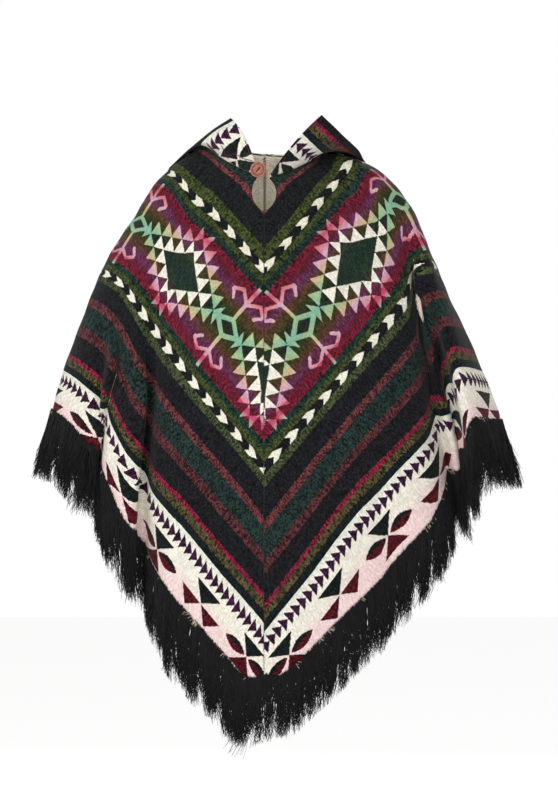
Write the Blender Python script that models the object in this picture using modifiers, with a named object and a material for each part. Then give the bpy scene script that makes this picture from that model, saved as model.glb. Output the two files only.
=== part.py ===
"""Andean poncho as it hangs when worn, hollow, with its collar, button, loop and fringe.

Two mitred panels meet at the centre front and the centre back. A point of a panel is known
by its place in the cloth: `share`, the way round it from the centre-front seam (0) to the
centre-back seam (1), and `across`, the way down it from the neck edge to the hem. Rings of
equal `across` are laid out in space, folds are pressed into them, and the cloth is then
walked round each ring by length, so that it isn't stretched.

Metres, +Z up, the front faces -Y. Right and left are the wearer's, so right is -X. The
origin is the middle of the neck opening, where the wearer carries the poncho.
"""

import math

import bmesh
import bpy
import numpy as np
from mathutils import Matrix, Vector

# The cut, in the flat.
PANEL_WIDTH = 0.586        # across the stripes, from the neck edge to the hem
NECK_EDGE = 0.300          # one panel's neck edge, from centre front to centre back
COLLAR_HEIGHT = 0.118
SLIT_DEPTH = 0.030         # how far across the stripes the front slit runs
SLIT_PINCH = 0.010         # how far the button draws each side of the slit inwards
TIP_ROUND = 0.030          # how much the hem's corner is rounded at the seams
TIP_RUN = 0.085            # how far along the hem that rounding reaches
WALL = 0.0024
SEAM_GAP = 0.0003

# The worn shape, one ring a row. Columns: across, centre front y and z, right side x and z,
# left side x and z, centre back y and z, and how much the ring is drawn to a ridge at the
# centre seams (0 is round, 1 is pointed).
RINGS = (
    (0.000, -0.098, -0.052, -0.104, 0.014, 0.094, -0.004, 0.084, 0.004, 0.50),
    (0.036, -0.106, -0.101, -0.120, 0.002, 0.120, -0.002, 0.108, -0.042, 0.48),
    (0.076, -0.114, -0.157, -0.148, -0.018, 0.150, -0.007, 0.127, -0.096, 0.45),
    (0.123, -0.124, -0.224, -0.177, -0.048, 0.188, -0.028, 0.141, -0.161, 0.42),
    (0.200, -0.138, -0.333, -0.213, -0.104, 0.233, -0.076, 0.152, -0.269, 0.38),
    (0.294, -0.151, -0.466, -0.257, -0.173, 0.271, -0.160, 0.158, -0.401, 0.34),
    (0.390, -0.159, -0.602, -0.286, -0.242, 0.301, -0.232, 0.162, -0.536, 0.30),
    (0.475, -0.164, -0.722, -0.317, -0.323, 0.341, -0.318, 0.166, -0.656, 0.28),
    (0.586, -0.170, -0.879, -0.346, -0.418, 0.387, -0.436, 0.170, -0.812, 0.26),
    (0.606, -0.171, -0.907, -0.351, -0.436, 0.393, -0.456, 0.171, -0.840, 0.26),
)
SIDE_Y = 0.012             # the side line lies a little behind the middle of the neck
# Where a stripe stops climbing and runs level round the side. Columns: panel, half, how far
# out from the centre seam that starts, how long it takes (shares of the side's reach), how
# complete it is.
LEVELLING = (
    ("right", "front", 0.66, 0.34, 0.60),
    ("left", "front", 0.80, 0.11, 1.00),
    ("right", "back", 0.62, 0.38, 0.50),
    ("left", "back", 0.62, 0.38, 0.50),
)

# Folds, one row each. Columns: panel, place round the ring above and at the hem (0 centre
# front, 1 side, 2 centre back), where it starts across the stripes, half width round the
# ring, and at the hem its depth, how far its later lip stands out over its earlier one, and
# how far the two lips close over it.
FOLDS = (
    ("right", 0.50, 0.40, 0.20, 0.060, 0.034, 0.008, 0.012),
    ("right", 0.70, 0.60, 0.34, 0.050, 0.024, 0.006, 0.008),
    ("right", 1.28, 1.30, 0.17, 0.065, 0.050, 0.000, 0.006),
    ("right", 1.48, 1.56, 0.26, 0.060, 0.052, 0.000, 0.006),
    ("right", 1.68, 1.76, 0.38, 0.050, 0.034, 0.000, 0.000),
    ("left", 0.78, 0.64, 0.16, 0.100, 0.010, 0.034, 0.050),
    ("left", 0.40, 0.36, 0.33, 0.070, 0.012, 0.000, 0.000),
    ("left", 1.24, 1.28, 0.17, 0.065, 0.046, 0.000, 0.006),
    ("left", 1.46, 1.52, 0.26, 0.060, 0.040, 0.000, 0.006),
    ("left", 1.66, 1.74, 0.36, 0.050, 0.030, 0.000, 0.000),
)
FOLD_GROWTH = 1.2          # a fold deepens a little faster than evenly towards the hem

# The collar's upper half when it stands as a wing. Columns: side, share of its length from
# the front end to the centre back, then the x, y, z of its middle line and of its top edge.
WINGS = (
    ("right", 0.00, -0.030, -0.104, 0.020, -0.054, -0.068, 0.056),
    ("right", 0.20, -0.074, -0.084, 0.016, -0.088, -0.062, 0.034),
    ("right", 0.40, -0.110, -0.022, 0.013, -0.134, -0.002, -0.001),
    ("right", 0.60, -0.118, 0.040, 0.012, -0.150, 0.062, -0.022),
    ("left", 0.00, 0.050, -0.106, 0.014, 0.093, -0.102, 0.058),
    ("left", 0.20, 0.086, -0.084, 0.010, 0.126, -0.080, 0.028),
    ("left", 0.40, 0.120, -0.030, 0.006, 0.158, -0.018, -0.002),
    ("left", 0.60, 0.118, 0.045, 0.008, 0.150, 0.070, -0.018),
)
WING_END, FALL_START = 0.36, 0.72   # between these shares the wing turns down
FALL_STAND = 0.0030        # the turned-down collar stands this far up out of the seam,
FALL_ROLL = 0.0045         # rolls over at this radius, and then lies along the panel
BACK_MITRE = 0.29          # how much less across the stripes the fall reaches at the seam
MITRE_START = 0.72
COLLAR_GAP = 0.0007
COLLAR_RISES = (0.0, 0.0030, 0.0065, 0.0101, 0.030, 0.058, 0.088, COLLAR_HEIGHT)

# Mesh spacing.
PANEL_COLUMNS, PANEL_ROWS = 60, 12
SLIT_COLUMNS, SLIT_ROWS = 5, 3
COLLAR_COLUMNS = 44
DRAPE_RINGS, DRAPE_STEPS = 203, 1201
FOLD_ROUNDING = 40         # how many times each point of a ring is moved towards its neighbours

# Share of the way round that is turned under beside the slit.
SLIT_TURN = SLIT_COLUMNS / PANEL_COLUMNS

# The fringe.
HEADING_HEIGHT, HEADING_GAP = 0.008, 0.0012
LOCK_SHARE = 0.74          # how much of its column of the heading a lock fills
LOCK_LENGTH, LOCK_SPREAD, LOCK_SWAY = 0.092, 0.12, 0.04
LOCKS_LEFT_OUT = {"right": (), "left": (22, 26)}
LOCK_SECTIONS = ((0.55, 0.86), (1.00, 0.16))   # how far down, and how wide there

# The button and its loop.
BUTTON_PLACE = (-0.0095, -0.1016, -0.0295)
BUTTON_RADIUS, BUTTON_THICKNESS = 0.013, 0.0040
BUTTON_BEVEL = 0.0012
BUTTON_HOLES = ((-0.0024, -0.0026), (0.0024, 0.0026))
BUTTON_HOLE_RADIUS = 0.0011
SHANK_END = (-0.0124, -0.0954, -0.0286)
SHANK_RADIUS = 0.0014      # at the button; it thins towards the cloth
LOOP_RADIUS = 0.0011
LOOP_STARTS = ((0.0132, -0.0936, -0.0334), (0.0143, -0.0940, -0.0292))
LOOP_REST = 0.56           # where along the shank the loop lies
LOOP_ARC_STEPS, LOOP_LEG_STEPS = 6, 4
ROUND_STEPS = 40


def clear_scene():
    for thing in list(bpy.data.objects):
        bpy.data.objects.remove(thing, do_unlink=True)


def material(name, colour, roughness):
    """A plain Principled material of one linear colour."""
    made = bpy.data.materials.new(name)
    made.use_nodes = True
    shader = made.node_tree.nodes["Principled BSDF"]
    shader.inputs["Base Color"].default_value = (*colour, 1.0)
    shader.inputs["Roughness"].default_value = roughness
    shader.inputs["Metallic"].default_value = 0.0
    return made


def add_object(name, mesh, finish, collection):
    made = bpy.data.objects.new(name, mesh)
    mesh.materials.append(finish)
    collection.objects.link(made)
    return made


def side_sign(side):
    return -1.0 if side == "right" else 1.0


def ease(x):
    """0 below 0, 1 above 1, and smooth between."""
    x = np.clip(x, 0.0, 1.0)
    return x * x * (3.0 - 2.0 * x)


def through_rows(places, values, wanted):
    """A smooth curve through a table's column, with a slope at each row from its neighbours."""
    places, values = np.asarray(places, float), np.asarray(values, float)
    slopes = np.gradient(values, places)
    i = np.clip(np.searchsorted(places, wanted) - 1, 0, len(places) - 2)
    step = places[i + 1] - places[i]
    t = (wanted - places[i]) / step
    start = (2 * t**3 - 3 * t**2 + 1) * values[i] + (t**3 - 2 * t**2 + t) * step * slopes[i]
    end = (3 * t**2 - 2 * t**3) * values[i + 1] + (t**3 - t**2) * step * slopes[i + 1]
    return start + end


def unit(vectors):
    return vectors / np.linalg.norm(vectors, axis=-1, keepdims=True)


def plain_rings(side, across, turns):
    """The rings before any fold. `turns` is 0 at the centre front, 1 at the side, 2 behind."""
    table = np.array(RINGS)

    def column(index):
        return through_rows(table[:, 0], table[:, index], across)[:, None]

    reach, side_z = (column(3), column(4)) if side == "right" else (column(5), column(6))
    ridge = column(9)
    angle = np.where(turns <= 1.0, turns, 2.0 - turns)[None, :] * math.pi / 2
    out = np.sin(angle)
    towards_side = (1.0 - ridge) * (1.0 - np.cos(angle)) + ridge * out
    points = []
    for half, (y, z) in (("front", (column(1), column(2))), ("back", (column(7), column(8)))):
        start, run, share = next(row[2:] for row in LEVELLING if row[:2] == (side, half))
        climb = out + (1.0 - out) * ease((out - start) / run) * share
        points.append(np.stack(
            [reach * out, y + (SIDE_Y - y) * towards_side, z + (side_z - z) * climb], axis=-1))
    return np.where((turns <= 1.0)[None, :, None], points[0], points[1])


def outward(points, across, turns, side):
    """The direction away from the wearer at each point of a set of rings."""
    round_it = np.gradient(points, turns, axis=1)
    down_it = np.gradient(points, across, axis=0)
    return unit(np.cross(down_it, round_it)) * side_sign(side), unit(round_it)


def press_folds(points, across, turns, side):
    out, onward = outward(points, across, turns, side)
    shift = np.zeros_like(points)
    for panel, above, hem, start, half, depth, step, close in FOLDS:
        if panel != side:
            continue
        grown = np.clip((across - start) / (PANEL_WIDTH - start), 0.0, 1.05)[:, None]
        place = (turns[None, :] - (above + (hem - above) * grown)) / half
        bell = np.exp(-place**2) * grown**FOLD_GROWTH
        lip = 2.33 * place * bell       # 1 at the later lip, -1 at the earlier one
        shift += out * (lip * step - bell * depth)[..., None]
        shift -= onward * (lip * close)[..., None]
    return points + shift


class Drape:
    """One panel's worn inner surface, looked up by share round and distance across."""

    def __init__(self, side):
        self.side = side
        self.across = np.linspace(0.0, RINGS[-1][0], DRAPE_RINGS)
        self.shares = np.linspace(0.0, 1.0, DRAPE_STEPS)
        turns = np.linspace(0.0, 2.0, DRAPE_STEPS)
        rings = plain_rings(side, self.across, turns)
        rings = press_folds(rings, self.across, turns, side)
        self.points = np.empty_like(rings)
        for ring, walked in zip(rings, self.points):
            steps = np.linalg.norm(np.diff(ring, axis=0), axis=1)
            length = np.concatenate([[0.0], np.cumsum(steps)])
            for axis in range(3):
                walked[:, axis] = np.interp(self.shares, length / length[-1], ring[:, axis])
        for _ in range(FOLD_ROUNDING):
            inside = self.points[:, 1:-1]
            around = (self.points[:, :-2] + self.points[:, 2:]) / 2
            self.points[:, 1:-1] = (inside + around) / 2
        near_slit = np.exp(-((self.shares - SLIT_TURN) / SLIT_TURN) ** 2)[None, :]
        open_above = np.clip(1.0 - self.across / SLIT_DEPTH, 0.0, 1.0)[:, None]
        self.points[..., 0] -= side_sign(side) * SLIT_PINCH * near_slit * open_above
        self.points[..., 0] += side_sign(side) * SEAM_GAP / 2
        self.normals = outward(self.points, self.across, self.shares, side)[0]

    def look_up(self, grid, share, across):
        column = np.clip(share, 0.0, 1.0) * (DRAPE_STEPS - 1)
        row = np.clip(across / self.across[-1], 0.0, 1.0) * (DRAPE_RINGS - 1)
        c = np.minimum(column.astype(int), DRAPE_STEPS - 2)
        r = np.minimum(row.astype(int), DRAPE_RINGS - 2)
        fc, fr = (column - c)[..., None], (row - r)[..., None]
        upper = grid[r, c] * (1 - fc) + grid[r, c + 1] * fc
        lower = grid[r + 1, c] * (1 - fc) + grid[r + 1, c + 1] * fc
        return upper * (1 - fr) + lower * fr

    def at(self, share, across, lift=0.0):
        """Points of the inner surface, moved outwards by `lift`."""
        share, across = np.broadcast_arrays(np.asarray(share, float), np.asarray(across, float))
        moved = self.look_up(self.normals, share, across) * np.asarray(lift)[..., None]
        return self.look_up(self.points, share, across) + moved


def hem_tuck(share, across):
    """How much less deep the cloth is near the hem's two rounded corners."""
    along = np.minimum(share, 1.0 - share) * (NECK_EDGE + 2 * PANEL_WIDTH)
    corner = np.clip(1.0 - along / TIP_RUN, 0.0, 1.0) ** 2
    return TIP_ROUND * corner * np.clip(across / PANEL_WIDTH, 0.0, 1.0) ** 4


def grid_normals(points):
    """Unit normals of a grid of points, each the sum of the faces' that meet there."""
    faces = np.cross(points[1:, 1:] - points[:-1, :-1], points[:-1, 1:] - points[1:, :-1])
    summed = np.zeros_like(points)
    for rows in (slice(None, -1), slice(1, None)):
        for columns in (slice(None, -1), slice(1, None)):
            summed[rows, columns] += unit(faces)
    return unit(summed)


def shell(near, far, left_out=()):
    """A closed bmesh wall between two grids of points, without the faces left out."""
    rows, columns = near.shape[0] - 1, near.shape[1] - 1
    bm = bmesh.new()
    bmesh.ops.create_grid(bm, x_segments=columns, y_segments=rows, size=0.5)
    place = bm.verts.layers.int.new("place")
    for vert in bm.verts:
        vert[place] = (round((vert.co.y + 0.5) * rows) * (columns + 1)
                       + round((vert.co.x + 0.5) * columns))
    dropped = [face for face in bm.faces if min(vert[place] for vert in face.verts) in left_out]
    bmesh.ops.delete(bm, geom=dropped, context="FACES")
    near_side = set(bm.verts)
    bmesh.ops.solidify(bm, geom=bm.faces[:], thickness=WALL)
    near, far = near.reshape(-1, 3), far.reshape(-1, 3)
    for vert in bm.verts:
        vert.co = near[vert[place]] if vert in near_side else far[vert[place]]
    bm.normal_update()
    if bm.calc_volume(signed=True) < 0.0:
        bmesh.ops.reverse_faces(bm, faces=bm.faces[:])
    return bm, place


def to_mesh(bm, name):
    mesh = bpy.data.meshes.new(name)
    bm.to_mesh(mesh)
    bm.free()
    mesh.shade_smooth()
    return mesh


def panel_points(drape):
    """A panel's inner and outer points, their rows close together beside the slit."""
    shares = np.linspace(0.0, 1.0, PANEL_COLUMNS + 1)
    above = np.linspace(0.0, SLIT_DEPTH, SLIT_ROWS + 1)
    below = np.linspace(SLIT_DEPTH, PANEL_WIDTH, PANEL_ROWS + 1)
    share, across = np.meshgrid(shares, np.concatenate([above, below[1:]]))
    inner = drape.at(share, across - hem_tuck(share, across))
    return inner, inner + grid_normals(inner) * side_sign(drape.side) * WALL


def add_panel(drape, finish, collection):
    """A mitred panel, with the corner beside the slit turned under and so left out."""
    inner, outer = panel_points(drape)
    turned_under = {
        row * (PANEL_COLUMNS + 1) + column
        for row in range(SLIT_ROWS) for column in range(SLIT_COLUMNS)
    }
    bm, _ = shell(inner, outer, turned_under)
    name = f"panel_{drape.side}"
    add_object(name, to_mesh(bm, name), finish, collection)


def wing_points(side, way, base, out):
    """The collar as a wing: up out of the seam, then a curve through its middle to its top."""
    rows = np.array([row[1:] for row in WINGS if row[0] == side])
    middle, top = [
        np.stack([through_rows(rows[:, 0], rows[:, first + axis], way) for axis in range(3)],
                 axis=-1)
        for first in (1, 4)
    ]
    rise = np.array(COLLAR_RISES)[:, None, None]
    stood = base + out * np.minimum(rise, FALL_STAND)
    rise = np.maximum(rise - FALL_STAND, 0.0) / (COLLAR_HEIGHT - FALL_STAND)
    return ((1 - rise) * (1 - 2 * rise) * stood + 4 * rise * (1 - rise) * middle
            + rise * (2 * rise - 1) * top)


def fall_points(drape, share, way):
    """The collar turned down: up out of the seam, over a small roll, then down the panel."""
    rise = np.array(COLLAR_RISES)[:, None]
    straight = 1.0 - BACK_MITRE * ease((way - MITRE_START) / (1.0 - MITRE_START))
    roll = FALL_ROLL * math.pi / 2
    angle = np.clip((rise - FALL_STAND) / roll, 0.0, 1.0) * math.pi / 2
    beyond = np.maximum(rise - FALL_STAND - roll, 0.0)
    across = FALL_ROLL * (1.0 - np.cos(angle)) + beyond * straight
    lift = np.minimum(rise, FALL_STAND) + FALL_ROLL * np.sin(angle)
    return drape.at(share, across, np.broadcast_to(lift, across.shape))


def collar_half(drape, way):
    """Points of one half of the collar, for shares of its length from the front end."""
    share = SLIT_TURN + (1.0 - SLIT_TURN) * way
    edge = drape.at(share, np.zeros_like(share))
    inner = drape.at(share, np.full_like(share, 0.004))
    base = edge + unit(edge - inner) * COLLAR_GAP
    out = drape.look_up(drape.normals, share, np.zeros_like(share))
    fall = fall_points(drape, share, way) + (base - edge)
    wing = wing_points(drape.side, way, base, out)
    turned = ease((way - WING_END) / (FALL_START - WING_END))[None, :, None]
    return wing * (1.0 - turned) + fall * turned


def collar_points(drapes):
    """The collar's face towards the panels and its face towards the neck."""
    way = np.linspace(0.0, 1.0, COLLAR_COLUMNS // 2 + 1)
    right = collar_half(drapes["right"], way)
    left = collar_half(drapes["left"], way)
    back = (right[:, -1:] + left[:, -1:]) / 2
    outside = np.concatenate([right[:, :-1], back, left[:, -2::-1]], axis=1)
    return outside, outside - grid_normals(outside) * WALL


def add_collar(drapes, finish, collection):
    bm, _ = shell(*collar_points(drapes))
    add_object("collar", to_mesh(bm, "collar"), finish, collection)


def heading_points(drape):
    """The heading strip: the hem's own rim, moved off it, with a lock's end in each column."""
    shares = np.linspace(0.0, 1.0, PANEL_COLUMNS + 1)
    across = PANEL_WIDTH - hem_tuck(shares, PANEL_WIDTH)
    hems = [points[-1] for points in panel_points(drape)]
    run = unit(np.gradient(hems[0], axis=0))
    run[[0, -1]] = 0.0
    down = drape.at(shares, across + HEADING_HEIGHT) - drape.at(shares, across)
    down = unit(down - run * np.sum(down * run, axis=1, keepdims=True))
    faces = []
    for hem in hems:
        strip = np.empty((2, 2 * PANEL_COLUMNS + 1, 3))
        for row, height in zip(strip, (HEADING_GAP, HEADING_HEIGHT)):
            lowered = hem + down * height
            row[0::2] = lowered
            row[1::2] = lowered[:-1] * (1.0 - LOCK_SHARE) + lowered[1:] * LOCK_SHARE
        faces.append(strip)
    return faces


def add_fringe(drape, finish, collection):
    """A heading strip under the hem, with each lock drawn out of the strip's lower edge."""
    bm, place = shell(*heading_points(drape))
    width = 2 * PANEL_COLUMNS + 1
    roots = {}
    for face in bm.faces:
        places = sorted({vert[place] for vert in face.verts})
        if len(places) == 2 and places[0] >= width and places[1] - places[0] == 1:
            column = places[0] - width
            if column % 2 == 0:
                roots[column // 2] = face
    for lock, root in roots.items():
        if lock in LOCKS_LEFT_OUT[drape.side]:
            continue
        middle = np.array([(lock + LOCK_SHARE / 2) / PANEL_COLUMNS])
        out = drape.look_up(drape.normals, middle, np.array([PANEL_WIDTH]))[0]
        draw_lock(bm, root, lock, hang_along(out))
    name = f"fringe_{drape.side}"
    add_object(name, to_mesh(bm, name), finish, collection)


def hang_along(out):
    """Straight down, but turned to stay in the plane of the cloth that faces `out`."""
    down = Vector((0.0, 0.0, -1.0))
    facing = Vector(out)
    return (down - facing * down.dot(facing)).normalized(), facing


def draw_lock(bm, root, lock, hanging):
    """One lock: its root is extruded down twice, swaying and thinning towards its tip."""
    down_cloth, facing = hanging
    length = LOCK_LENGTH * (1.0 + LOCK_SPREAD * math.sin(lock * 2.4))
    sway = down_cloth.cross(facing) * LOCK_SWAY * math.sin(lock * 1.7)
    start = root.calc_center_median().copy()
    outline = [vert.co - start for vert in root.verts]
    face = root
    for down, wide in LOCK_SECTIONS:
        face = bmesh.ops.extrude_discrete_faces(bm, faces=[face])["faces"][0]
        for vert, corner in zip(face.verts, outline):
            vert.co = start + corner * wide + (down_cloth + sway * down) * length * down


def button_cylinder(name, radius, end_radius, start, end, segments, collection):
    """A cylinder or cone from one point to another."""
    start, end = Vector(start), Vector(end)
    turn = (end - start).to_track_quat("Z", "Y").to_matrix().to_4x4()
    bm = bmesh.new()
    bmesh.ops.create_cone(
        bm, cap_ends=True, segments=segments, radius1=radius, radius2=end_radius,
        depth=(end - start).length, matrix=Matrix.Translation((start + end) / 2) @ turn)
    made = bpy.data.objects.new(name, to_mesh(bm, name))
    collection.objects.link(made)
    return made


def combine(thing, other, operation):
    other.hide_render = True
    other.display_type = "WIRE"
    step = thing.modifiers.new(other.name, "BOOLEAN")
    step.operation = operation
    step.solver = "EXACT"
    step.object = other


def add_button(finish, collection, cutters):
    """A disc with rounded rims and two holes, on its thread shank."""
    middle = Vector(BUTTON_PLACE)
    half = Vector((0.0, BUTTON_THICKNESS / 2, 0.0))
    button = button_cylinder("button", BUTTON_RADIUS, BUTTON_RADIUS, middle - half,
                             middle + half, ROUND_STEPS, collection)
    button.data.materials.append(finish)
    rims = button.modifiers.new("rims", "BEVEL")
    rims.width = BUTTON_BEVEL
    rims.segments = 3
    rims.limit_method = "ANGLE"
    for number, (across, up) in enumerate(BUTTON_HOLES):
        place = middle + Vector((across, 0.0, up))
        hole = button_cylinder(f"button_hole_{number}", BUTTON_HOLE_RADIUS, BUTTON_HOLE_RADIUS,
                               place - half * 2, place + half * 2, 16, cutters)
        combine(button, hole, "DIFFERENCE")
    shank = button_cylinder("button_shank", SHANK_RADIUS, SHANK_RADIUS / 2, middle, SHANK_END,
                            16, cutters)
    combine(button, shank, "UNION")


def loop_path():
    """From the left edge's start, behind the button, round its shank, and back."""
    rest = np.array(BUTTON_PLACE) * (1.0 - LOOP_REST) + np.array(SHANK_END) * LOOP_REST
    reach = SHANK_RADIUS + LOOP_RADIUS + SEAM_GAP
    angles = np.linspace(-math.pi / 2, math.pi / 2, LOOP_ARC_STEPS + 1)
    arc = rest + reach * np.stack(
        [-np.cos(angles), np.zeros_like(angles), np.sin(angles)], axis=-1)
    legs = []
    for start, end in zip(np.array(LOOP_STARTS), (arc[0], arc[-1])):
        t = np.linspace(0.0, 1.0, LOOP_LEG_STEPS, endpoint=False)[:, None]
        leg = start + (end - start) * t
        leg[:, 1] = (start[1] + (end[1] - start[1]) * (1.0 - (1.0 - t) ** 2))[:, 0]
        legs.append(leg)
    return np.concatenate([legs[0], arc, legs[1][::-1]])


def add_button_loop(finish, collection):
    path = loop_path()
    cord = bpy.data.curves.new("button_loop", "CURVE")
    cord.dimensions = "3D"
    cord.bevel_depth = LOOP_RADIUS
    cord.bevel_resolution = 2
    cord.use_fill_caps = True
    line = cord.splines.new("POLY")
    line.points.add(len(path) - 1)
    for point, place in zip(line.points, path):
        point.co = (*place, 1.0)
    add_object("button_loop", cord, finish, collection)


def main():
    clear_scene()
    collection = bpy.data.collections.new("andean_poncho")
    cutters = bpy.data.collections.new("cutters")
    bpy.context.scene.collection.children.link(collection)
    bpy.context.scene.collection.children.link(cutters)
    cloth = {
        "right": material("striped_cloth_right", (0.030, 0.035, 0.030), 0.9),
        "left": material("striped_cloth_left", (0.050, 0.020, 0.025), 0.9),
    }
    yarn = {
        "right": material("black_yarn_right", (0.012, 0.011, 0.012), 0.95),
        "left": material("black_yarn_left", (0.014, 0.012, 0.012), 0.95),
    }
    drapes = {side: Drape(side) for side in ("right", "left")}
    for side, drape in drapes.items():
        add_panel(drape, cloth[side], collection)
        add_fringe(drape, yarn[side], collection)
    add_collar(drapes, material("collar_cloth", (0.55, 0.50, 0.40), 0.9), collection)
    add_button(material("coconut_shell", (0.30, 0.10, 0.03), 0.45), collection, cutters)
    add_button_loop(material("cream_cord", (0.60, 0.58, 0.42), 0.85), collection)


main()
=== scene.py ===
"""The worn andean poncho dressed: woven cloth, sewn seams, yarn fringe, button and cord loop.

The cloth hangs on the same rings and folds as the solids. A point of it is known by its
share of the way round from the centre front (0) to the centre back (1) and by its distance
across the stripes from the neck edge. That place in the flat cloth is also what the woven
pattern is drawn on. Metres, +Z up, the front faces -Y; right and left are the wearer's.
"""

import functools
import math

import bmesh
import bpy
import numpy as np
from mathutils import Matrix, Vector
from mathutils.bvhtree import BVHTree


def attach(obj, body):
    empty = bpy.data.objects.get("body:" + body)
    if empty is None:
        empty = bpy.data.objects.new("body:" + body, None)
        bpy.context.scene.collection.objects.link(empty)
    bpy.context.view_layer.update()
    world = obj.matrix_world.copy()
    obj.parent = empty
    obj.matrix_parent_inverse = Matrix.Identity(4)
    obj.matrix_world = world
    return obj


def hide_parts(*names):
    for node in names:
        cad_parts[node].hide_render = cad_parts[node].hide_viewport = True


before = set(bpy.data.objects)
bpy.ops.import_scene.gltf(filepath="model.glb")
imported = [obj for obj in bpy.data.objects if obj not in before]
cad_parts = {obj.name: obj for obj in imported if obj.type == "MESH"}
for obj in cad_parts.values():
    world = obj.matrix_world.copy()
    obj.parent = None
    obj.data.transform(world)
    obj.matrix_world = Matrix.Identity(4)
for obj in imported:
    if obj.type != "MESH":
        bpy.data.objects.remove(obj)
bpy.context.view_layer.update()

# The cut, in the flat.
PANEL_WIDTH = 0.586
NECK_EDGE = 0.300
HEM_LENGTH = NECK_EDGE + 2 * PANEL_WIDTH
COLLAR_HEIGHT = 0.118
SLIT_DEPTH = 0.030
SLIT_PINCH = 0.010
SLIT_TURN = 5 / 60
TIP_ROUND, TIP_RUN = 0.030, 0.085
SOLID_WALL = 0.0024
SEAM_GAP = 0.0003
CLOTH = 0.0019             # thickness of the double-woven cloth

# The worn rings. Columns: across, centre front y and z, right side x and z, left side x and
# z, centre back y and z, and how much the ring is drawn to a ridge at the centre seams.
RINGS = (
    (0.000, -0.098, -0.052, -0.104, 0.014, 0.094, -0.004, 0.084, 0.004, 0.50),
    (0.036, -0.106, -0.101, -0.120, 0.002, 0.120, -0.002, 0.108, -0.042, 0.48),
    (0.076, -0.114, -0.157, -0.148, -0.018, 0.150, -0.007, 0.127, -0.096, 0.45),
    (0.123, -0.124, -0.224, -0.177, -0.048, 0.188, -0.028, 0.141, -0.161, 0.42),
    (0.200, -0.138, -0.333, -0.213, -0.104, 0.233, -0.076, 0.152, -0.269, 0.38),
    (0.294, -0.151, -0.466, -0.257, -0.173, 0.271, -0.160, 0.158, -0.401, 0.34),
    (0.390, -0.159, -0.602, -0.286, -0.242, 0.301, -0.232, 0.162, -0.536, 0.30),
    (0.475, -0.164, -0.722, -0.317, -0.323, 0.341, -0.318, 0.166, -0.656, 0.28),
    (0.586, -0.170, -0.879, -0.346, -0.418, 0.387, -0.436, 0.170, -0.812, 0.26),
    (0.606, -0.171, -0.907, -0.351, -0.436, 0.393, -0.456, 0.171, -0.840, 0.26),
)
SIDE_Y = 0.012             # where the rings' sides are from front to back
# How a ring levels off beside the shoulder. Columns: panel, half, how far out the levelling
# starts, how much farther out it ends, and the share of the height left that it takes up.
LEVELLING = (
    ("right", "front", 0.66, 0.34, 0.60),
    ("left", "front", 0.80, 0.11, 1.00),
    ("right", "back", 0.62, 0.38, 0.50),
    ("left", "back", 0.62, 0.38, 0.50),
)
# Columns: panel, place round the ring above and at the hem, where it starts across the
# stripes, half width round the ring, and at the hem its depth, step and close.
FOLDS = (
    ("right", 0.50, 0.40, 0.20, 0.060, 0.034, 0.008, 0.012),
    ("right", 0.70, 0.60, 0.34, 0.050, 0.024, 0.006, 0.008),
    ("right", 1.28, 1.30, 0.17, 0.065, 0.050, 0.000, 0.006),
    ("right", 1.48, 1.56, 0.26, 0.060, 0.052, 0.000, 0.006),
    ("right", 1.68, 1.76, 0.38, 0.050, 0.034, 0.000, 0.000),
    ("left", 0.78, 0.64, 0.16, 0.100, 0.010, 0.034, 0.050),
    ("left", 0.40, 0.36, 0.33, 0.070, 0.012, 0.000, 0.000),
    ("left", 1.24, 1.28, 0.17, 0.065, 0.046, 0.000, 0.006),
    ("left", 1.46, 1.52, 0.26, 0.060, 0.040, 0.000, 0.006),
    ("left", 1.66, 1.74, 0.36, 0.050, 0.030, 0.000, 0.000),
)
FOLD_GROWTH, FOLD_OVERSHOOT = 1.2, 1.05      # the power a fold deepens by, and its most
FOLD_ROUNDING = 40         # rounds of smoothing
LIP_PEAK = 2.33            # brings the greatest of x * exp(-x**2) to 1
# Soft creases that are too low for the solids. Columns: panel, share and across where each
# starts, share and across where it ends, half width, and height (below 0 a trough).
CREASES = (
    ("right", 0.16, 0.060, 0.10, 0.420, 0.016, -0.0030),
    ("right", 0.27, 0.030, 0.22, 0.330, 0.014, 0.0026),
    ("right", 0.36, 0.050, 0.30, 0.560, 0.018, -0.0034),
    ("right", 0.62, 0.060, 0.68, 0.500, 0.018, -0.0032),
    ("right", 0.80, 0.040, 0.88, 0.420, 0.015, 0.0028),
    ("left", 0.14, 0.070, 0.12, 0.500, 0.016, -0.0028),
    ("left", 0.24, 0.040, 0.22, 0.360, 0.015, 0.0026),
    ("left", 0.33, 0.040, 0.26, 0.570, 0.017, -0.0032),
    ("left", 0.64, 0.050, 0.70, 0.520, 0.018, -0.0032),
    ("left", 0.82, 0.050, 0.88, 0.440, 0.015, 0.0028),
)
CREASE_ENDS = 0.7          # below 1, a crease keeps its height nearer to its ends
# Slack between the creases: its height, and two waves' radians a metre along and across.
SLACK_HEIGHT = 0.0008
SLACK_WAVES = ((61.0, 23.0), (-13.0, 47.0))
CALM_SEAM, CALM_NECK, CALM_HEM = 0.03, 0.03, 0.02     # how far creases fade before each

# Sharper pleats, pressed so that one side closes towards the other. Columns: panel, places
# down the pleat (across, share), half width, and how far it stands out and closes over.
PLEATS = (
    ("right", ((0.36, 0.470), (0.43, 0.392), (0.62, 0.397)), 0.024, 0.008, 0.013),
    ("right", ((0.33, 0.365), (0.38, 0.328), (0.45, 0.308), (0.62, 0.280)), 0.026, 0.010, 0.020),
    ("left", ((0.27, 0.470), (0.37, 0.445), (0.48, 0.366), (0.62, 0.345)), 0.026, 0.012, 0.016),
)
PLEAT_GROWTH = 0.10

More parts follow.
